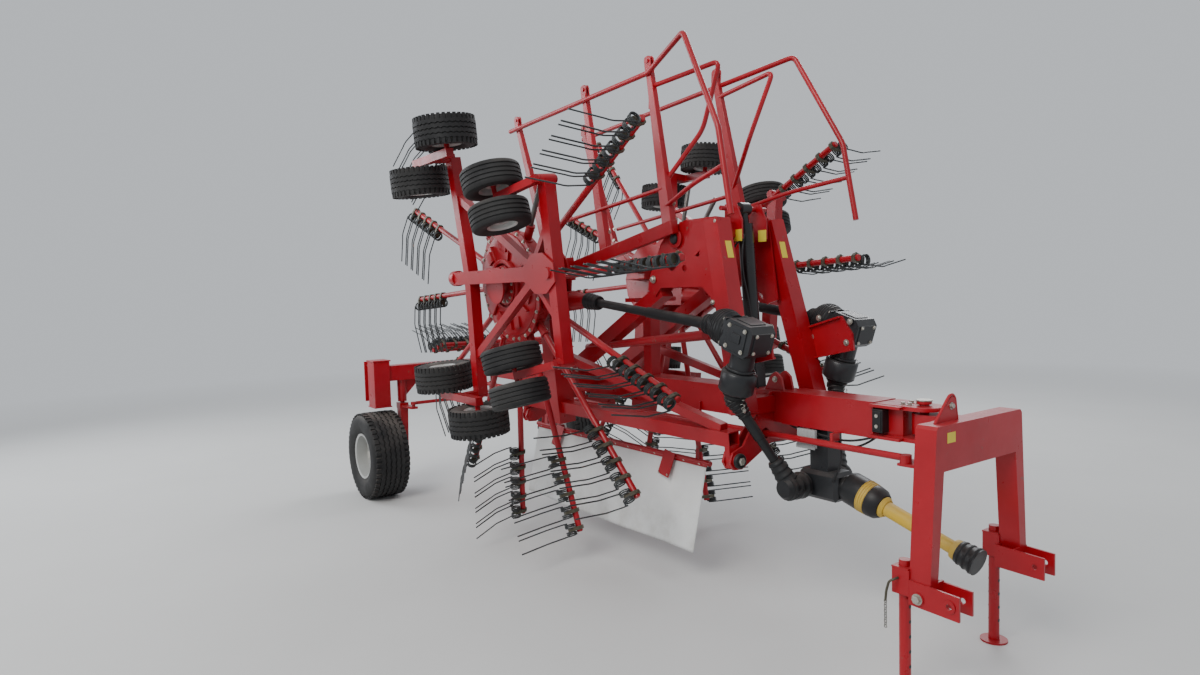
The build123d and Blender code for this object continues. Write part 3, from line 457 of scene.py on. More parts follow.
def add_tine_arms():
    """The arms of both rotors, and the spare ones on their rack."""
    forms = tine_arm_forms()
    looks = (("tubes", paint), ("clamps", clamp_steel), ("tines", tine_steel))
    for side, mirror in SIDES:
        for form, (label, look) in zip(forms, looks):
            shape = Shape(mirror @ LEFT)
            for place, degrees in ARM_TURNS.items():
                angle = FIRST_ARM_DEG + place * 360 / ARM_PLACES
                shape.add(form, at(HUB_X, HUB_S, ARM_Z) @ turn(angle, "Z") @ turn(degrees, "X"))
            stands_for = (f"tine_arms_{side}",) if label == "tubes" else ()
            piece(f"arm_{label}_{side}", shape, f"rotor_{side}", look, replaces=stands_for)
    for form, (label, look) in zip(forms, looks):
        shape = Shape(WHOLE)
        for x, z in SPARE_ARMS:
            shape.add(form, at(x, SPARE_ROOT_Y, z) @ turn(-90, "Z") @ turn(SPARE_TURN_DEG, "X"))
        stands_for = ("spare_tine_arms",) if label == "tubes" else ()
        piece(f"spare_{label}", shape, "root", look, replaces=stands_for)
    rack = Shape(WHOLE)
    for x, z in SPARE_ARMS:
        rack.add(box(x - 0.024, x + 0.024, -0.012, 0.012, BEAM_TOP_Z, z + 0.03))
    piece("spare_arm_rack", rack, "root", paint, bevel=0.002)


# Tyres
def tyre_profile(radius, width, rim, grooves=()):
    """Closed (radius, y) ring with round shoulders and sidewalls, and grooves in the tread."""
    half = width / 2
    shoulder = radius * 0.09
    outer = [(rim, -half * 0.8), (rim + 0.012, -half * 0.88), (rim + (radius - rim) * 0.45, -half),
             (radius - shoulder * 1.6, -half * 0.985), (radius - shoulder * 0.6, -half * 0.93),
             (radius - shoulder * 0.12, -half * 0.8)]
    tread = []
    for y, wide, deep in grooves:
        tread += [(radius, y - wide / 2 - 0.001), (radius - deep, y - wide / 2 + 0.001),
                  (radius - deep, y + wide / 2 - 0.001), (radius, y + wide / 2 + 0.001)]
    other = [(r, -y) for r, y in reversed(outer)]
    return outer + (tread or [(radius, -half * 0.5), (radius, 0), (radius, half * 0.5)]) + other


def zigzag_rib(radius, y, wide, height, swing, count):
    """Tread rib round the tyre whose two sides run in a zigzag."""
    points = []
    stations = 2 * count
    for k in range(stations):
        a = 2 * math.pi * k / stations
        shift = swing if k % 2 else -swing
        for r, side in ((radius - height, -1), (radius, -1), (radius, 1), (radius - height, 1)):
            points.append((r * math.cos(a), y + shift + side * wide / 2, r * math.sin(a)))
    return points, ring_faces(stations, 4, True)


def shoulder_lugs(shape, place, radius, y, count, height):
    """Short cross lugs on both shoulders."""
    for k in range(count):
        for side in (-1, 1):
            angle = 360 * (k + (0.5 if side > 0 else 0)) / count
            half = math.pi * radius / count * 0.62
            outline = [(-half, 0), (half, 0), (half * 0.85, height), (-half * 0.85, height)]
            shape.add(prism(outline, -0.022, 0.022), place @ turn(angle, "Y") @ at(0, side * y, radius - height))


def add_road_tyres():
    for side, mirror in SIDES:
        shape = Shape(mirror)
        shape.add(lathe(tyre_profile(ROAD_RADIUS - 0.012, ROAD_WIDTH, ROAD_RIM), 96, closed=True), ROAD_WHEEL)
        for y, wide in ((-0.098, 0.036), (-0.049, 0.034), (0, 0.034), (0.049, 0.034), (0.098, 0.036)):
            shape.add(zigzag_rib(ROAD_RADIUS - 0.0005, y, wide, 0.02, 0.006, 44), ROAD_WHEEL)
        shoulder_lugs(shape, ROAD_WHEEL, ROAD_RADIUS - 0.004, 0.142, 48, 0.018)
        piece(f"road_tyre_rubber_{side}", shape, f"road_wheel_{side}", rubber,
              replaces=(f"road_tyre_{side}",), smooth_deg=40)


def add_rim_fittings():
    """Nuts, hub cap and valve on each road wheel."""
    nut = lathe([(0.004, -0.012), (0.013, -0.012), (0.013, 0.006), (0.01, 0.01), (0.004, 0.01)], 6)
    cap = lathe([(0.004, 0.072), (0.045, 0.072), (0.045, 0.092), (0.038, 0.102), (0.004, 0.104)], 40)
    valve = rod([(0.0, 0.04, 0.165), (0.0, 0.075, 0.172)], 0.005, 10)
    for side, mirror in SIDES:
        nuts = Shape(mirror)
        for k in range(8):
            nuts.add(nut, ROAD_WHEEL @ turn(22.5 + k * 45, "Y") @ at(0, 0.042, 0.1))
        nuts.add(cap, ROAD_WHEEL)
        nuts.add(valve, ROAD_WHEEL)
        piece(f"wheel_nuts_{side}", nuts, f"road_wheel_{side}", zinc)


def small_wheel(rubber_shape, rim_shape, place, radius, width, rim, blocks):
    """Tyre and dished rim; the tread has zigzag ribs and lugs if blocks is true, else grooves."""
    if blocks:
        rubber_shape.add(lathe(tyre_profile(radius - 0.008, width, rim), 56, closed=True), place)
        for y in (-0.054, -0.018, 0.018, 0.054):
            rubber_shape.add(zigzag_rib(radius - 0.0005, y, 0.026, 0.014, 0.004, 34), place)
        shoulder_lugs(rubber_shape, place, radius - 0.004, 0.0835, 36, 0.013)
    else:
        grooves = [(y, 0.008, 0.007) for y in (-0.045, -0.015, 0.015, 0.045)]
        rubber_shape.add(lathe(tyre_profile(radius, width, rim, grooves), 56, closed=True), place)
    half = width / 2
    dish = [(0.022, -half * 0.55), (0.05, -half * 0.55), (0.055, -half * 0.15), (rim - 0.018, -half * 0.1),
            (rim - 0.012, -half * 0.7), (rim + 0.004, -half * 0.84), (rim + 0.004, half * 0.84),
            (rim - 0.012, half * 0.7), (rim - 0.018, half * 0.02), (0.055, 0), (0.05, half * 0.55),
            (0.022, half * 0.55)]
    rim_shape.add(lathe(dish, 40, closed=True), place)


def add_small_wheels():
    for side, mirror in SIDES:
        base = mirror @ LEFT
        for level, sign in (("top", 1), ("low", -1)):
            name = f"caster_wheels_{level}_{side}"
            spot = at(HUB_X + FRONT_BAR_X, HUB_S + CHASSIS_SHIFT + sign * FRONT_BAR_HALF, 0)
            spot = spot @ turn(CASTER_DROOP, "Z")
            tyres, rims = shapes(2, base)
            for edge in (-1, 1):
                small_wheel(tyres, rims, spot @ at(-CASTER_TRAIL, edge * CASTER_SPACING / 2, CASTER_AXLE_Z),
                            CASTER_RADIUS, CASTER_WIDTH, CASTER_RIM, False)
            piece(f"{name}_rubber", tyres, name, rubber, replaces=(name,))
            piece(f"{name}_rims", rims, name, rim_grey)
            for end, out in (("front", 1), ("rear", -1)):
                name = f"tandem_{end}_{level}_{side}"
                y = sign * (TANDEM_BEAM_Y + out * TANDEM_OFFSET)
                tyres, rims = shapes(2, base)
                small_wheel(tyres, rims, at(HUB_X + TANDEM_X[end], HUB_S + CHASSIS_SHIFT + y, AXLE_Z),
                            TANDEM_RADIUS, TANDEM_WIDTH, TANDEM_RIM, True)
                piece(f"{name}_rubber", tyres, name, rubber, replaces=(name,))
                piece(f"{name}_rim", rims, name, rim_grey)


# Rotor hubs
UPRIGHT = turn(90, "X")
DOWNWARD = turn(-90, "X")


def add_rotor_hubs():
    """Drum with its flange, ring, ribs and sockets; bolts; bare shafts where the arms are taken off."""
    drum = [(0.061, -0.395), (0.15, -0.395), (0.15, -0.37), (0.335, -0.362), (0.392, -0.352), (0.4, -0.34),
            (0.4, -0.228), (0.39, -0.218), (0.32, -0.176), (0.15, -0.152), (0.061, -0.152)]
    ring = [(0.165, -0.366), (0.165, -0.392), (0.172, -0.398), (0.195, -0.398), (0.2, -0.39), (0.2, -0.364)]
    hole = disc(0.004, 0.007, 0.0185, 0.0205, 14)
    corners = []
    for k in range(ARM_PLACES):
        a = math.radians(k * 360 / ARM_PLACES)
        corners.append((HUB_PLATE_RADIUS * math.cos(a), HUB_PLATE_RADIUS * math.sin(a)))
    for side, mirror in SIDES:
        spot = at(HUB_X, HUB_S, 0)
        shape, bolts, bare = shapes(3, mirror @ LEFT)
        shape.add(lathe(drum[::-1], 112, closed=True), spot @ UPRIGHT)
        shape.add(prism(corners, 0.332, 0.346), spot @ DOWNWARD)
        shape.add(lathe(ring[::-1], 72, closed=True), spot @ UPRIGHT)
        for place in range(HUB_RIBS):
            rib = spot @ turn(FIRST_ARM_DEG + 13 + place * 360 / HUB_RIBS, "Z")
            shape.add(box(0.2, 0.345, -0.006, 0.006, -0.385, -0.36), rib)
            shape.add(box(0.245, 0.33, 0.05, 0.12, -0.378, -0.36), rib)
        for place in range(ARM_PLACES):
            ray = spot @ turn(FIRST_ARM_DEG + place * 360 / ARM_PLACES, "Z")
            shape.add(rod([(0.37, 0, ARM_Z), (0.405, 0, ARM_Z), (0.406, 0, ARM_Z), (0.5, 0, ARM_Z),
                           (0.501, 0, ARM_Z), (0.52, 0, ARM_Z)],
                          [0.045, 0.045, 0.032, 0.032, 0.036, 0.036], 28), ray)
            for turned in (-7, 7):
                bolts.add(bolt(0.01, 0.01), ray @ turn(turned, "Z") @ at(0.418, 0, -0.346) @ DOWNWARD)
            bolts.add(bolt(0.008, 0.008), ray @ at(0.47, 0, ARM_Z + 0.032) @ UPRIGHT)
            bolts.add(bolt(0.009, 0.009), ray @ at(0.125, 0, -0.395) @ DOWNWARD)
            if place in ARM_TURNS:
                continue
            bare.add(rod([(0.5, 0, ARM_Z), (0.83, 0, ARM_Z), (0.835, 0, ARM_Z)], [0.019, 0.019, 0.016], 24),
                     ray)
            for out in (0.7, 0.78):
                bare.add(hole, ray @ at(out, 0, ARM_Z))
        piece(f"bare_shafts_{side}", bare, f"rotor_{side}", steel)
        piece(f"rotor_drum_{side}", shape, f"rotor_{side}", paint, replaces=(f"rotor_hub_{side}",),
              bevel=0.0015)
        piece(f"rotor_bolts_{side}", bolts, f"rotor_{side}", zinc)


# Guards of smooth tube
def bend(corners, radius, steps=7):
    """Path through corners, each rounded off over a distance of radius."""
    corners = [Vector(c) for c in corners]
    path = [corners[0]]
    for before, corner, after in zip(corners, corners[1:], corners[2:]):
        start = corner + (before - corner).normalized() * radius
        end = corner + (after - corner).normalized() * radius
        for k in range(steps + 1):
            t = k / steps
            path.append(start * (1 - t) ** 2 + corner * 2 * t * (1 - t) + end * t * t)
    path.append(corners[-1])
    return path


def bar(start, end, size_start, size_end, side):
    """Box bar from start to end; a size is (along side, across it)."""
    start, end = Vector(start), Vector(end)
    axis = (end - start).normalized()
    wide = (Vector(side) - axis * axis.dot(Vector(side))).normalized()
    deep = axis.cross(wide)
    points = []
    for centre, (w, d) in ((start, size_start), (end, size_end)):
        for i, j in ((-1, -1), (1, -1), (1, 1), (-1, 1)):
            points.append(centre + wide * (w / 2 * i) + deep * (d / 2 * j))
    return points, [(0, 3, 2, 1), (4, 5, 6, 7), (0, 1, 5, 4), (1, 2, 6, 5), (2, 3, 7, 6), (3, 0, 4, 7)]


# foot (x, s) of each post on the booms, and its top (x, s, z)
GUARD_POSTS = (((2.05, 1.4), (1.64, 2.47, 0.29)), ((2.86, 1.3), (2.64, 2.51, 0.31)),
               ((3.6, 1.43), (3.387, 2.537, 0.33)))
# corners of each tube, its radius, and how far its corners are rounded
GUARD_RAILS = (
    ([(1.56, 2.425, 0.25), (3.4, 2.49, 0.3), (3.945, 2.598, 0.143), (4.293, 1.969, 0.027),
      (4.387, 1.464, -0.022)], 0.018, 0.04),
    ([(3.42, 2.4, 0.32), (3.99, 2.43, 0.39), (3.8, 2.04, 0.38), (3.5, 1.7, 0.23)], 0.016, 0.06),
    ([(3.57, 1.58, 0.21), (3.95, 1.68, 0.11), (4.335, 1.745, 0.003)], 0.015, 0.1),
    ([(2.09, 1.56, 0.2), (3.54, 1.7, 0.22)], 0.015, 0.1))
POST_EAR = [(-0.034, 0.03), (0.034, 0.03), (0.036, -0.05), (0.024, -0.066), (0, -0.07), (-0.024, -0.066),
            (-0.036, -0.05)]


def add_guards():
    """Booms and posts of box bar, ears with their pins, and the bent tubes on them."""
    z = 0.2
    for side, mirror in SIDES:
        boxes, tubes, bolts = shapes(3, mirror @ LEFT)
        for start_x, end_x in ((HUB_X + 0.06, 3.65), (HUB_X - 0.03, 2.03)):
            boxes.add(bar((start_x, 1.21, z), (end_x, 1.44, z), (0.06, 0.09), (0.06, 0.09), (0, 0, 1)))
        boxes.add(box(HUB_X - 0.11, HUB_X + 0.14, 1.12, 1.3, 0.034, z - 0.025))
        for (foot_x, foot_s), top in GUARD_POSTS:
            boxes.add(bar((foot_x, foot_s, z), top, (0.05, 0.1), (0.04, 0.05), (0, 0, 1)))
            for low in (-0.018, 0.008):
                boxes.add(prism(POST_EAR, low, low + 0.01), at(*top) @ UPRIGHT)
            x, s, height = top
            tubes.add(rod([(x, s + 0.036, height - 0.026), (x, s + 0.036, height + 0.026)], 0.014, 16))
            for x in (-0.03, 0.03):
                for s in (0.06, 0.16):
                    bolts.add(bolt(0.01, 0.01), at(foot_x + x, foot_s + s, z + 0.026) @ UPRIGHT)
        for corners, radius, corner_radius in GUARD_RAILS:
            tubes.add(rod(bend(corners, corner_radius), radius, 16))
        piece(f"guard_boxes_{side}", boxes, f"carriage_{side}", paint, replaces=(f"guard_frame_{side}",),
              bevel=0.004)
        piece(f"guard_tubes_{side}", tubes, f"carriage_{side}", paint)
        piece(f"guard_bolts_{side}", bolts, f"carriage_{side}", zinc)


# Drive line: ribbed boots and shafts
def side_box_point(x, z):
    """Point in the middle plane of the tilted gearbox beside the tower, from its own x and z."""
    return SIDE_BOX @ Vector((x, 0, z))


def along(start, end):
    """Place whose Y axis runs from start to end."""
    start, end = Vector(start), Vector(end)
    turned = (end - start).to_track_quat("Y", "Z").to_matrix().to_4x4()
    return at(*start) @ turned


def ribbed(length, r0, r1, ribs, depth=0.004, low=0.0):
    """Boot profile from low to length with shallow ribs."""
    profile = [(r0 * 0.6, low), (r0, low)]
    for k in range(ribs):
        y = low + (length - low) * (k + 0.3) / ribs
        step = (length - low) / ribs
        r = r0 + (r1 - r0) * (k + 0.3) / ribs
        profile += [(r, y), (r + depth, y + step * 0.15), (r + depth, y + step * 0.3), (r, y + step * 0.45)]
    return profile + [(r1, length), (r1 * 0.6, length)]


def add_drive_line():
    """Drive shafts to the rotors with their elbow boots, side shafts to the gearboxes, and chains."""
    inlet = WHOLE.inverted() @ LEFT @ Vector((HUB_X + 0.62, HUB_S - 0.16, -0.06))
    for side, mirror in SIDES:
        body = f"drive_shaft_{side}"
        start = side_box_point(-0.178, 0)
        length = (inlet - start).length
        place = along(start, inlet)
        shape, dome = shapes(2, mirror @ WHOLE)
        shape.add(lathe(ribbed(0.16, 0.07, 0.056, 4, low=0.05), 40), place)
        tube = [(0.035, 0.13), (0.035, length * 0.52), (0.029, length * 0.525), (0.029, length - 0.12)]
        shape.add(lathe(tube, 32), place)
        shape.add(lathe(ribbed(length - 0.002, 0.048, 0.06, 4, low=length - 0.13), 40), place)
        piece(f"{body}_cover", shape, body, plastic, replaces=(body,))
        profile = [(0.02, -0.066), (0.098, -0.066)]
        for k in range(10):
            a = math.radians(-28 + k * 10)
            r = 0.107 * math.cos(a)
            y = 0.107 * math.sin(a)
            profile += [(r, y), (r + 0.004, y + 0.004), (r + 0.003, y + 0.01)]
        profile += [(0.055, 0.1), (0.02, 0.1)]
        aim = side_box_point(-0.4, 0)
        dome.add(lathe(profile, 44), along(start, aim))
        piece(f"elbow_boot_{side}", dome, "root", plastic)
    shape, chains = shapes(2, WHOLE)
    ring = chain_link(0.009, 0.0065, 0.0015)
    for side, mirror in SIDES:
        low = Vector((SIDE_SHAFT_X, 0.215, SHAFT_LEVEL_Z))
        high = side_box_point(0, -0.385)
        knee = side_box_point(0, -0.41)
        collar = side_box_point(0, -0.34)
        length = (high - low).length
        place = mirror @ along(low, high)
        cross = mirror @ along((SIDE_SHAFT_X, 0.12, SHAFT_LEVEL_Z), (SIDE_SHAFT_X, 0.5, SHAFT_LEVEL_Z))
        shape.add(lathe(ribbed(0.15, 0.078, 0.07, 3), 40), cross)
        shape.add(lathe([(0.02, 0.135), (0.062, 0.135), (0.066, 0.15), (0.05, 0.175), (0.02, 0.18)], 40), cross)
        shape.add(lathe(ribbed(0.19, 0.07, 0.042, 6, low=-0.05), 40), place)
        tube = [(0.028, 0.18), (0.028, length * 0.55), (0.033, length * 0.555), (0.033, length - 0.12)]
        shape.add(lathe(tube, 28), place)
        shape.add(lathe(ribbed(length, 0.036, 0.06, 5, low=length - 0.13), 40), place)
        shape.add(lathe(ribbed((collar - knee).length, 0.05, 0.078, 2), 40), mirror @ along(knee, collar))
        for k in range(9):
            t = k / 8
            sag = Vector((0.05 + 0.03 * math.sin(t * 3), 0, -0.09 * math.sin(t * 3.1)))
            spot = mirror @ high.lerp(collar, t) + sag
            chains.add(ring, at(*spot) @ turn(90 * (k % 2), "X") @ turn(25 * k, "Z"))
    piece("side_shaft_covers", shape, "root", plastic, replaces=("side_shafts",))
    piece("shaft_chains", chains, "root", zinc)


def add_input_shaft():
    """Shaft to the tractor: black boots, a yellow tube in two steps, and yellow rings."""
    tilt = math.radians(INPUT_TILT)
    start = Vector((INPUT_X, 0, SHAFT_LEVEL_Z))
    end = start + Vector((math.cos(tilt), 0, -math.sin(tilt))) * INPUT_LENGTH
    place = along(start, end)
    boots, tubes, rings = shapes(3, WHOLE)
    level = along((4.7, 0, SHAFT_LEVEL_Z), (4.9, 0, SHAFT_LEVEL_Z))
    boots.add(lathe(ribbed(0.1, 0.072, 0.09, 2, low=0.018), 48), level)
    boots.add(lathe([(0.02, -0.045), (0.09, -0.045), (0.096, -0.03), (0.096, 0.062), (0.02, 0.062)], 48), place)
    rings.add(lathe(ribbed(0.115, 0.094, 0.091, 4, low=0.06), 48), place)
    boots.add(lathe([(0.02, 0.113), (0.092, 0.113), (0.094, 0.125), (0.088, 0.165), (0.07, 0.19),
                     (0.02, 0.192)], 48), place)
    rings.add(lathe([(0.02, 0.185), (0.06, 0.185), (0.062, 0.2), (0.05, 0.215), (0.02, 0.215)], 40), place)
    tubes.add(lathe([(0.02, 0.2), (0.042, 0.2), (0.042, 0.4), (0.036, 0.402), (0.036, 0.64), (0.02, 0.64)], 40),
              place)
    rings.add(lathe([(0.02, 0.625), (0.052, 0.625), (0.056, 0.64), (0.056, 0.66), (0.02, 0.66)], 40), place)
    boots.add(lathe(ribbed(INPUT_LENGTH, 0.06, 0.072, 3, low=0.655), 44), place)
    piece("input_boots", boots, "root", plastic, replaces=("input_shaft",))
    piece("input_tube", tubes, "root", yellow)
    piece("input_rings", rings, "root", yellow)


# Bolts, covers and small fittings
def bolt_row(shape, spots, aim, radius=0.012):
    """Bolt heads at spots, each standing along aim."""
    for spot in spots:
        spot = Vector(spot)
        shape.add(bolt(radius, radius), along(spot, spot + Vector(aim)))


def add_gearbox_details():
    """Covers, flanges and bolts of the gearboxes beside the tower."""
    octagon = [(-0.075, -0.05), (-0.05, -0.075), (0.05, -0.075), (0.075, -0.05), (0.075, 0.05), (0.05, 0.075),
               (-0.05, 0.075), (-0.075, 0.05)]
    for side, mirror in SIDES:
        covers, bolts = shapes(2, mirror @ WHOLE)
        covers.add(prism(octagon, 0.094, 0.101), SIDE_BOX)
        covers.add(prism([(-0.03, -0.02), (0.04, -0.02), (0.04, 0.03), (-0.03, 0.03)], 0.1, 0.108), SIDE_BOX)
        covers.add(box(0.113, 0.121, -0.07, 0.07, -0.062, 0.062), SIDE_BOX)
        covers.add(box(-0.06, 0.06, -0.06, 0.06, 0.094, 0.1), SIDE_BOX)
        covers.add(box(-0.125, -0.108, -0.092, 0.092, -0.088, 0.088), SIDE_BOX)
        covers.add(lathe([(0.02, -0.2), (0.085, -0.2), (0.085, -0.19), (0.08, -0.185), (0.02, -0.185)], 40),
                   SIDE_BOX @ UPRIGHT)
        for x in (-0.062, 0.062):
            for z in (-0.062, 0.062):
                bolts.add(bolt(0.009, 0.009), SIDE_BOX @ at(x, 0.101, z))
        for y in (-0.06, 0.06):
            for z in (-0.05, 0.05):
                bolts.add(bolt(0.008, 0.008), SIDE_BOX @ at(0.121, y, z) @ turn(-90, "Z"))
                bolts.add(bolt(0.01, 0.012), SIDE_BOX @ at(-0.125, y * 1.25, z * 1.45) @ turn(90, "Z"))
        for x, z in ((-0.18, 0.02), (0.055, 0.075), (0.07, -0.06), (-0.2, -0.12)):
            bolts.add(bolt(0.014, 0.012), SIDE_BOX @ at(x, -0.111, z) @ turn(180, "Z"))
        piece(f"gearbox_covers_{side}", covers, "root", casting, bevel=0.002)
        piece(f"gearbox_bolts_{side}", bolts, "root", zinc)


def add_fittings():
    """Bolt heads, nuts, boss rings and blank labels on the frame."""
    zincs, reds, blacks, labels, clears = shapes(5, WHOLE)
    for sign in (-1, 1):
        side_zinc, side_red, side_black, side_label = shapes(4, Matrix.Scale(sign, 4, (0, 1, 0)))
        # tower plates: big pin, bolts and labels
        side_red.add(lathe([(0.02, 0), (0.062, 0), (0.062, 0.012), (0.055, 0.016), (0.02, 0.016)], 40),
                     at(3.615, 0.306, 2.322))
        side_black.add(lathe([(0.01, 0), (0.034, 0), (0.034, 0.01), (0.028, 0.016), (0.01, 0.016)], 32),
                       at(3.615, 0.322, 2.322))
        bolt_row(side_zinc, [(3.37, 0.308, 2.06)], (0, 1, 0), 0.018)
        bolt_row(side_zinc, [(3.95, 0.302, 1.9), (3.99, 0.302, 2.41), (3.6, 0.302, 2.39), (3.4, 0.302, 2.17)],
                 (0, 1, 0), 0.011)
        for x, z in ((4.2, 1.6), (4.28, 1.74), (4.46, 1.64), (4.4, 1.76)):
            bolt_row(side_zinc, [(x, 0.38, z)], (0, 1, 0), 0.013)
        # stays and beam
        bolt_row(side_zinc, [(2.28, 0.29, 1.36), (2.28, 0.29, 1.41), (2.36, 0.29, 1.36), (2.36, 0.29, 1.41)],
                 (0, 1, 0), 0.012)
        bolt_row(side_zinc, [(0.08, 0.1, 1.19), (0.08, 0.1, 1.3)], (0, 1, 0), 0.012)
        # fold pins: washer and hexagon nut on the outer face of both brackets
        for x, out in ((FRONT_BRACKET_X + BRACKET_HALF, 1), (REAR_BRACKET_X - BRACKET_HALF, -1)):
            spot = along((x, FOLD_Y, FOLD_Z), (x + out, FOLD_Y, FOLD_Z))
            side_black.add(lathe([(0.01, 0), (0.044, 0), (0.046, 0.006), (0.046, 0.02), (0.04, 0.026),
                                  (0.01, 0.026)], 36), spot)
            side_zinc.add(lathe([(0.01, 0.025), (0.024, 0.025), (0.024, 0.034), (0.02, 0.037), (0.01, 0.037)],
                                6), spot)
        # gusset from the beam's top edge down to the front fold bracket
        gusset = [(0.1, 1.2), (0.1, 1.338), (0.128, 1.338), (0.298, 1.124), (0.142, 1.206)]
        side_red.add(prism(gusset, -0.008, 0.008), at(FRONT_BRACKET_X + 0.03, 0, 0) @ turn(90, "Z"))
        # rear axle ends: cap plate, bolts, and kingpin caps
        side_red.add(box(-0.1, 0.1, 1.0, 1.18, 1.35, 1.362))
        side_red.add(box(-0.098, 0.098, 1.002, 1.178, 0.893, 0.905))
        bolt_row(side_zinc, [(-0.186, 1.05, 1.13), (-0.186, 1.05, 1.2), (-0.186, 1.13, 1.3)], (1, 0, 0), 0.01)
        side_zinc.add(disc(0.01, 0.036, 0, 0.008, 32), at(0, 0.86, 1.15) @ UPRIGHT)
        # label without text on the raked front face of each tower leg
        side_label.add(box(-0.001, 0.0012, -0.026, 0.026, -0.055, 0.055),
                       at(4.0535, 0.25, 2.23) @ turn(-13.9, "Y"))
        for part, whole in ((side_zinc, zincs), (side_red, reds), (side_black, blacks), (side_label, labels)):
            whole.add((part.points, part.faces))
    # labels without text on the plates that hold the top of the lift cylinder
    for y in (-0.1192, 0.1048):
        labels.add(box(3.965, 4.035, y, y + 0.0012, 2.285, 2.36))
    reds.add(box(4.74, 4.76, -0.17, -0.105, 1.1, 1.15))
    # web between the fork plates at the beam's front end
    reds.add(box(4.978, 5.14, -0.07, 0.07, 1.168, 1.322))
    # ears of the lift cylinder's foot, with the bolt through them
    ear = [(4.148, 1.338), (4.302, 1.338), (4.282, 1.421), (4.256, 1.444), (4.235, 1.455), (4.214, 1.444),
           (4.188, 1.421)]
    for low in (-0.052, 0.034):
        reds.add(prism(ear, low, low + 0.018))
    bolt_row(zincs, [(4.235, -0.052, 1.408)], (0, -1, 0), 0.013)
    # wide edges of the fork plates
    for sign in (-1, 1):
        y0, y1 = sorted((sign * 0.095, sign * 0.135))
        for low in (1.152, 1.322):
            reds.add(box(4.972, 5.16, y0, y1, low, low + 0.016))
    # black socket block in the fork, with its two screws
    blacks.add(box(4.99, 5.055, -0.13, -0.07, 1.185, 1.312))
    blacks.add(box(4.998, 5.047, -0.136, -0.13, 1.195, 1.302))
    for z in (1.22, 1.277):
        zincs.add(disc(0.004, 0.01, 0, 0.004, 20), at(5.022, -0.136, z) @ turn(180, "Z"))
    for x in (5.12, 5.16):
        bolt_row(zincs, [(x, -0.04, BEAM_TOP_Z), (x, 0.04, BEAM_TOP_Z)], (0, 0, 1), 0.012)
    # clear box for papers under the beam
    clears.add(box(4.47, 4.6, -0.13, -0.1055, 1.03, 1.14))
    clears.add(box(4.465, 4.605, -0.134, -0.13, 1.025, 1.05))
    for x in (4.49, 4.52, 4.55, 4.58):
        clears.add(box(x - 0.003, x + 0.003, -0.134, -0.13, 1.05, 1.135))
    piece("paper_box", clears, "root", clear_box, bevel=0.002)
    piece("frame_bolts", zincs, "root", zinc)
    piece("frame_plates", reds, "root", paint, bevel=0.002)
    piece("frame_blocks", blacks, "root", plastic, bevel=0.003)
    piece("blank_labels", labels, "root", sticker)


def add_headstock_details():
    """Rings and bolts of the link brackets, caps of the sleeves and the pivot, rim of the loop, a label."""
    zincs, reds, label = shapes(3, WHOLE)
    for sign in (-1, 1):
        bolt_row(zincs, [(5.47, sign * 0.467, 0.49)], (0, sign, 0), 0.018)
        reds.add(lathe([(0.0145, 0), (0.03, 0), (0.03, 0.006), (0.0145, 0.006)][::-1], 32, closed=True),
                 along((5.628, sign * HEAD_PLATE_Y, 0.502), (5.628, sign * 0.6, 0.502)))
        reds.add(box(5.33, 5.42, sign * LEG_Y - 0.045, sign * LEG_Y + 0.045, 0.612, 0.62))
        reds.add(disc(0.004, 0.032, 0, 0.005, 32), along((5.47, sign * HEAD_PLATE_Y, 0.49), (5.47, sign, 0.49)))
    bolt_row(zincs, [(5.475, -0.18, 1.385)], (1, 0, 0), 0.012)
    zincs.add(disc(0.01, 0.042, 0, 0.006, 40), at(HEAD_PIVOT_X, 0, 1.366) @ UPRIGHT)
    rim = [(5.47, -0.318, 1.31), (5.47, -0.206, 1.424), (5.47, -0.175, 1.445), (5.47, -0.143, 1.428),
           (5.47, -0.122, 1.31)]
    reds.add(rod(bend(rim, 0.02, 4), 0.0075, 14))
    label.add(box(5.53, 5.531, -0.31, -0.24, 1.225, 1.275))
    piece("headstock_bolts", zincs, "headstock", zinc)
    piece("headstock_rings", reds, "headstock", paint)
    piece("headstock_label", label, "headstock", sticker)


def add_leg_pins():
    """Bent handle and chain of the locking pin beside each ground leg's sleeve, and a black disc for each pin
    hole in the leg: painted shade where the hole's inside is dark.
    """
    link = chain_link(0.0085, 0.006, 0.0014)
    # black disc that stands for a pin hole: painted shade for the dark inside of the hole
    hole = disc(0.004, 0.009, 0.0272, 0.0282, 18)
    for side, sign in (("left", 1), ("right", -1)):
        pins, hole_shades = shapes(2, WHOLE)
        x, y = LEG_X, sign * LEG_Y
        out = sign * 0.043
        handle = [(x - 0.01, y + out, 0.565), (x - 0.01, y + out * 1.6, 0.565), (x - 0.03, y + out * 2, 0.552),
                  (x - 0.045, y + out * 2, 0.5), (x - 0.05, y + out * 2, 0.45)]
        pins.add(rod(bend(handle, 0.012, 4), 0.006, 12))
        for k in range(11):
            pins.add(link, at(x - 0.05, y + out * 2, 0.447 - k * 0.0125) @ turn(90 * (k % 2), "Z"))
        piece(f"leg_pin_{side}", pins, "headstock", clamp_steel)
        # painted shade: a black disc on both faces of the leg at each hole's height
        for k in range(5):
            spot = at(x, y, 0.12 + k * 0.075)
            for face in (90, -90):
                hole_shades.add(hole, spot @ turn(face, "Z"))
        piece(f"leg_hole_shades_{side}", hole_shades, f"ground_leg_{side}", plastic)


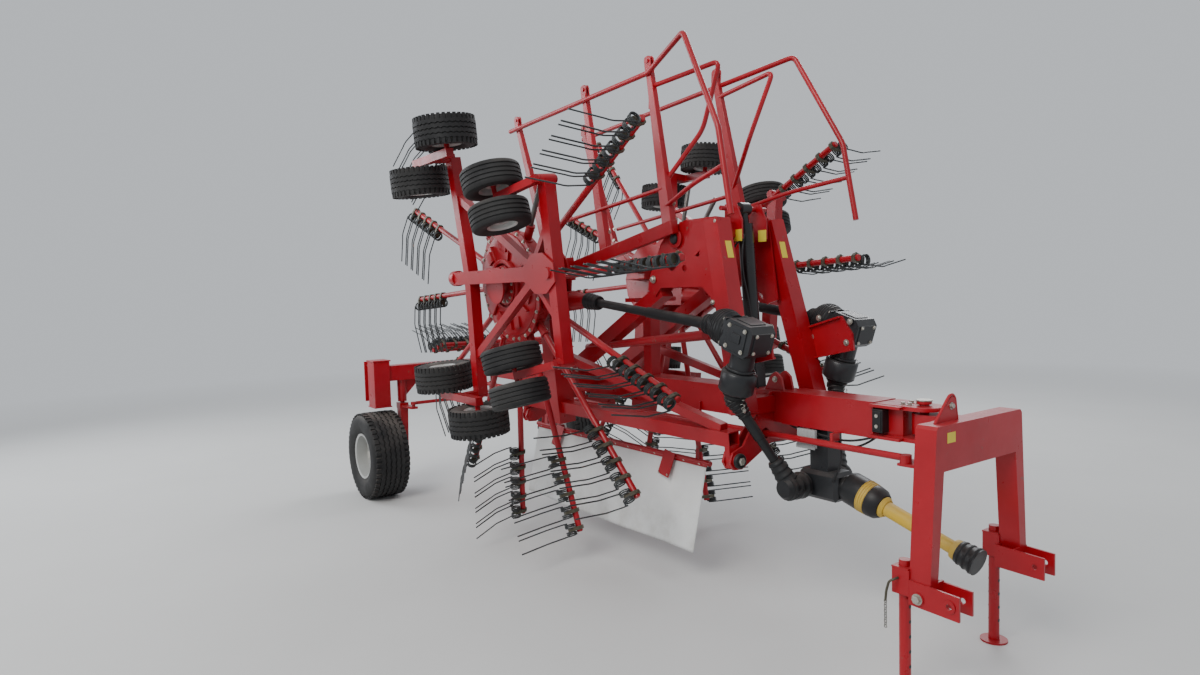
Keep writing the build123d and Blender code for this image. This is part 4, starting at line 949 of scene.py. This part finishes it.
# Hoses
def add_hose(name, diameter, points):
    """Hose fixed at both ends, along a smooth curve from its first point to its last."""
    data = bpy.data.curves.new(name, "CURVE")
    data.dimensions = "3D"
    data.bevel_depth = diameter / 2
    data.bevel_resolution = 3
    data.resolution_u = 10
    line = data.splines.new("NURBS")
    line.points.add(len(points) - 1)
    for point, (x, y, z) in zip(line.points, points):
        point.co = (x - MIDDLE_X, y, z, 1)
    line.order_u = 3
    line.use_endpoint_u = True
    data.materials.append(hose_rubber)
    made = new_object(name, data)
    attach(made, "root")


# diameter, and the points of the curve
HOSES = {
    "lift_hose_top": (0.014, ((3.99, -0.05, 2.33), (4.02, -0.1, 2.28), (4.03, -0.12, 2.1), (4.07, -0.1, 1.9),
                              (4.09, -0.09, 1.7), (4.09, -0.08, 1.5), (4.1, -0.06, 1.33))),
    "lift_hose_low": (0.014, ((3.95, -0.05, 2.3), (3.93, -0.1, 2.24), (3.88, -0.14, 2.12), (3.9, -0.12, 1.98),
                              (3.98, -0.07, 1.92))),
    "beam_hose_1": (0.013, ((4.99, -0.09, 1.155), (4.9, -0.11, 1.12), (4.75, -0.1, 1.1), (4.66, -0.09, 1.11),
                            (4.4, -0.08, 1.12), (4.35, -0.07, 1.15))),
    "beam_hose_2": (0.013, ((4.98, -0.05, 1.155), (4.9, -0.06, 1.09), (4.8, -0.075, 1.06), (4.68, -0.08, 1.09),
                            (4.5, -0.085, 1.07), (4.38, -0.03, 1.15))),
    "gearbox_hose": (0.012, ((4.69, -0.085, 0.84), (4.76, -0.12, 0.92), (4.78, -0.1, 1.05),
                             (4.7, -0.06, 1.145))),
}


# Curtain
CURTAIN_LENGTH, CURTAIN_DROP = 2.2, 0.591
CURTAIN_REAR_X, CURTAIN_TOP_Z, CURTAIN_LOW_Z = 1.5, 0.7817, 0.207


def add_curtain():
    """Swath curtain hung from its rail, with shallow waves towards its free lower edge."""
    columns, rows = 90, 26
    points = []
    for j in range(rows + 1):
        v = j / rows
        for i in range(columns + 1):
            u = i / columns
            wave = math.sin(u * 17) * 0.4 + math.sin(u * 7.3 + 1.2) * 0.6
            y = -0.15 - 0.14 * v + 0.013 * wave * v
            z = CURTAIN_TOP_Z - (CURTAIN_TOP_Z - CURTAIN_LOW_Z) * v
            points.append((CURTAIN_REAR_X - MIDDLE_X + u * CURTAIN_LENGTH, y, z))
    faces = []
    for j in range(rows):
        for i in range(columns):
            a = j * (columns + 1) + i
            faces.append((a, a + 1, a + columns + 2, a + columns + 1))
    sheet = piece("curtain_cloth", Shape().add((points, faces)), "root", cloth, replaces=("swath_curtain",),
                  smooth_deg=80)
    thick = sheet.modifiers.new("thickness", "SOLIDIFY")
    thick.thickness = 0.003
    thick.offset = 0
    strip, studs = shapes(2, WHOLE)
    strip.add(box(1.49, 3.71, -0.158, -0.1525, 0.772, 0.812), at(0, -0.003, 0))
    for x in (1.9, 3.35):
        strip.add(bar((x, -0.172, 0.83), (x - 0.03, -0.22, 0.66), (0.12, 0.006), (0.12, 0.006), (1, 0, 0)))
        for dx in (-0.045, 0.045):
            stud_x = x - 0.028 + dx
            studs.add(bolt(0.006, 0.005), along((stud_x, -0.222, 0.672), (stud_x, -0.32, 0.644)))
    for k in range(14):
        x = 1.56 + k * 0.16
        studs.add(bolt(0.007, 0.005), along((x, -0.161, 0.792), (x, -0.3, 0.792)))
    piece("curtain_strip", strip, "root", paint)
    piece("curtain_studs", studs, "root", zinc)


# Solids that stay
SOFTENED = ("main_beam", "fold_brackets", "tower_legs", "tower_stays", "rear_axle", "headstock", "knuckle_left",
            "knuckle_right", "fold_frame_left", "fold_frame_right", "undercarriage_left", "undercarriage_right",
            "gearcase_left", "gearcase_right", "side_gearboxes", "central_gearbox")


def dress_solids():
    """Materials on the solids that stay, and softened edges on the plates and boxes."""
    slots = {s["node"]: s["material_slot"] for s in frame["record"]["subparts"]}
    for name, solid in cad.items():
        material = black_paint if name == "lift_cylinder" else SLOT_MATERIALS[slots[name]]
        solid.data.materials.clear()
        solid.data.materials.append(material)
        if name in SOFTENED:
            weld = solid.modifiers.new("joined", "WELD")
            weld.merge_threshold = 0.00005
            soften(solid, 0.003, 50)


add_camera()
add_world()
for light in LIGHTS:
    add_light(*light)

ground = Shape().add(box(-FLOOR_HALF, FLOOR_HALF, -FLOOR_HALF, FLOOR_HALF, -FLOOR_DEPTH, 0))
ground_mesh = bpy.data.meshes.new("floor")
ground_mesh.from_pydata(ground.points, [], ground.faces)
ground_mesh.materials.append(floor_paint)
floor = new_object("floor", ground_mesh)

for hose, (diameter, points) in HOSES.items():
    add_hose(hose, diameter, points)
dress_solids()
add_tine_arms()
add_road_tyres()
add_rim_fittings()
add_small_wheels()
add_rotor_hubs()
add_guards()
add_drive_line()
add_input_shaft()
add_gearbox_details()
add_fittings()
add_headstock_details()
add_leg_pins()
add_curtain()
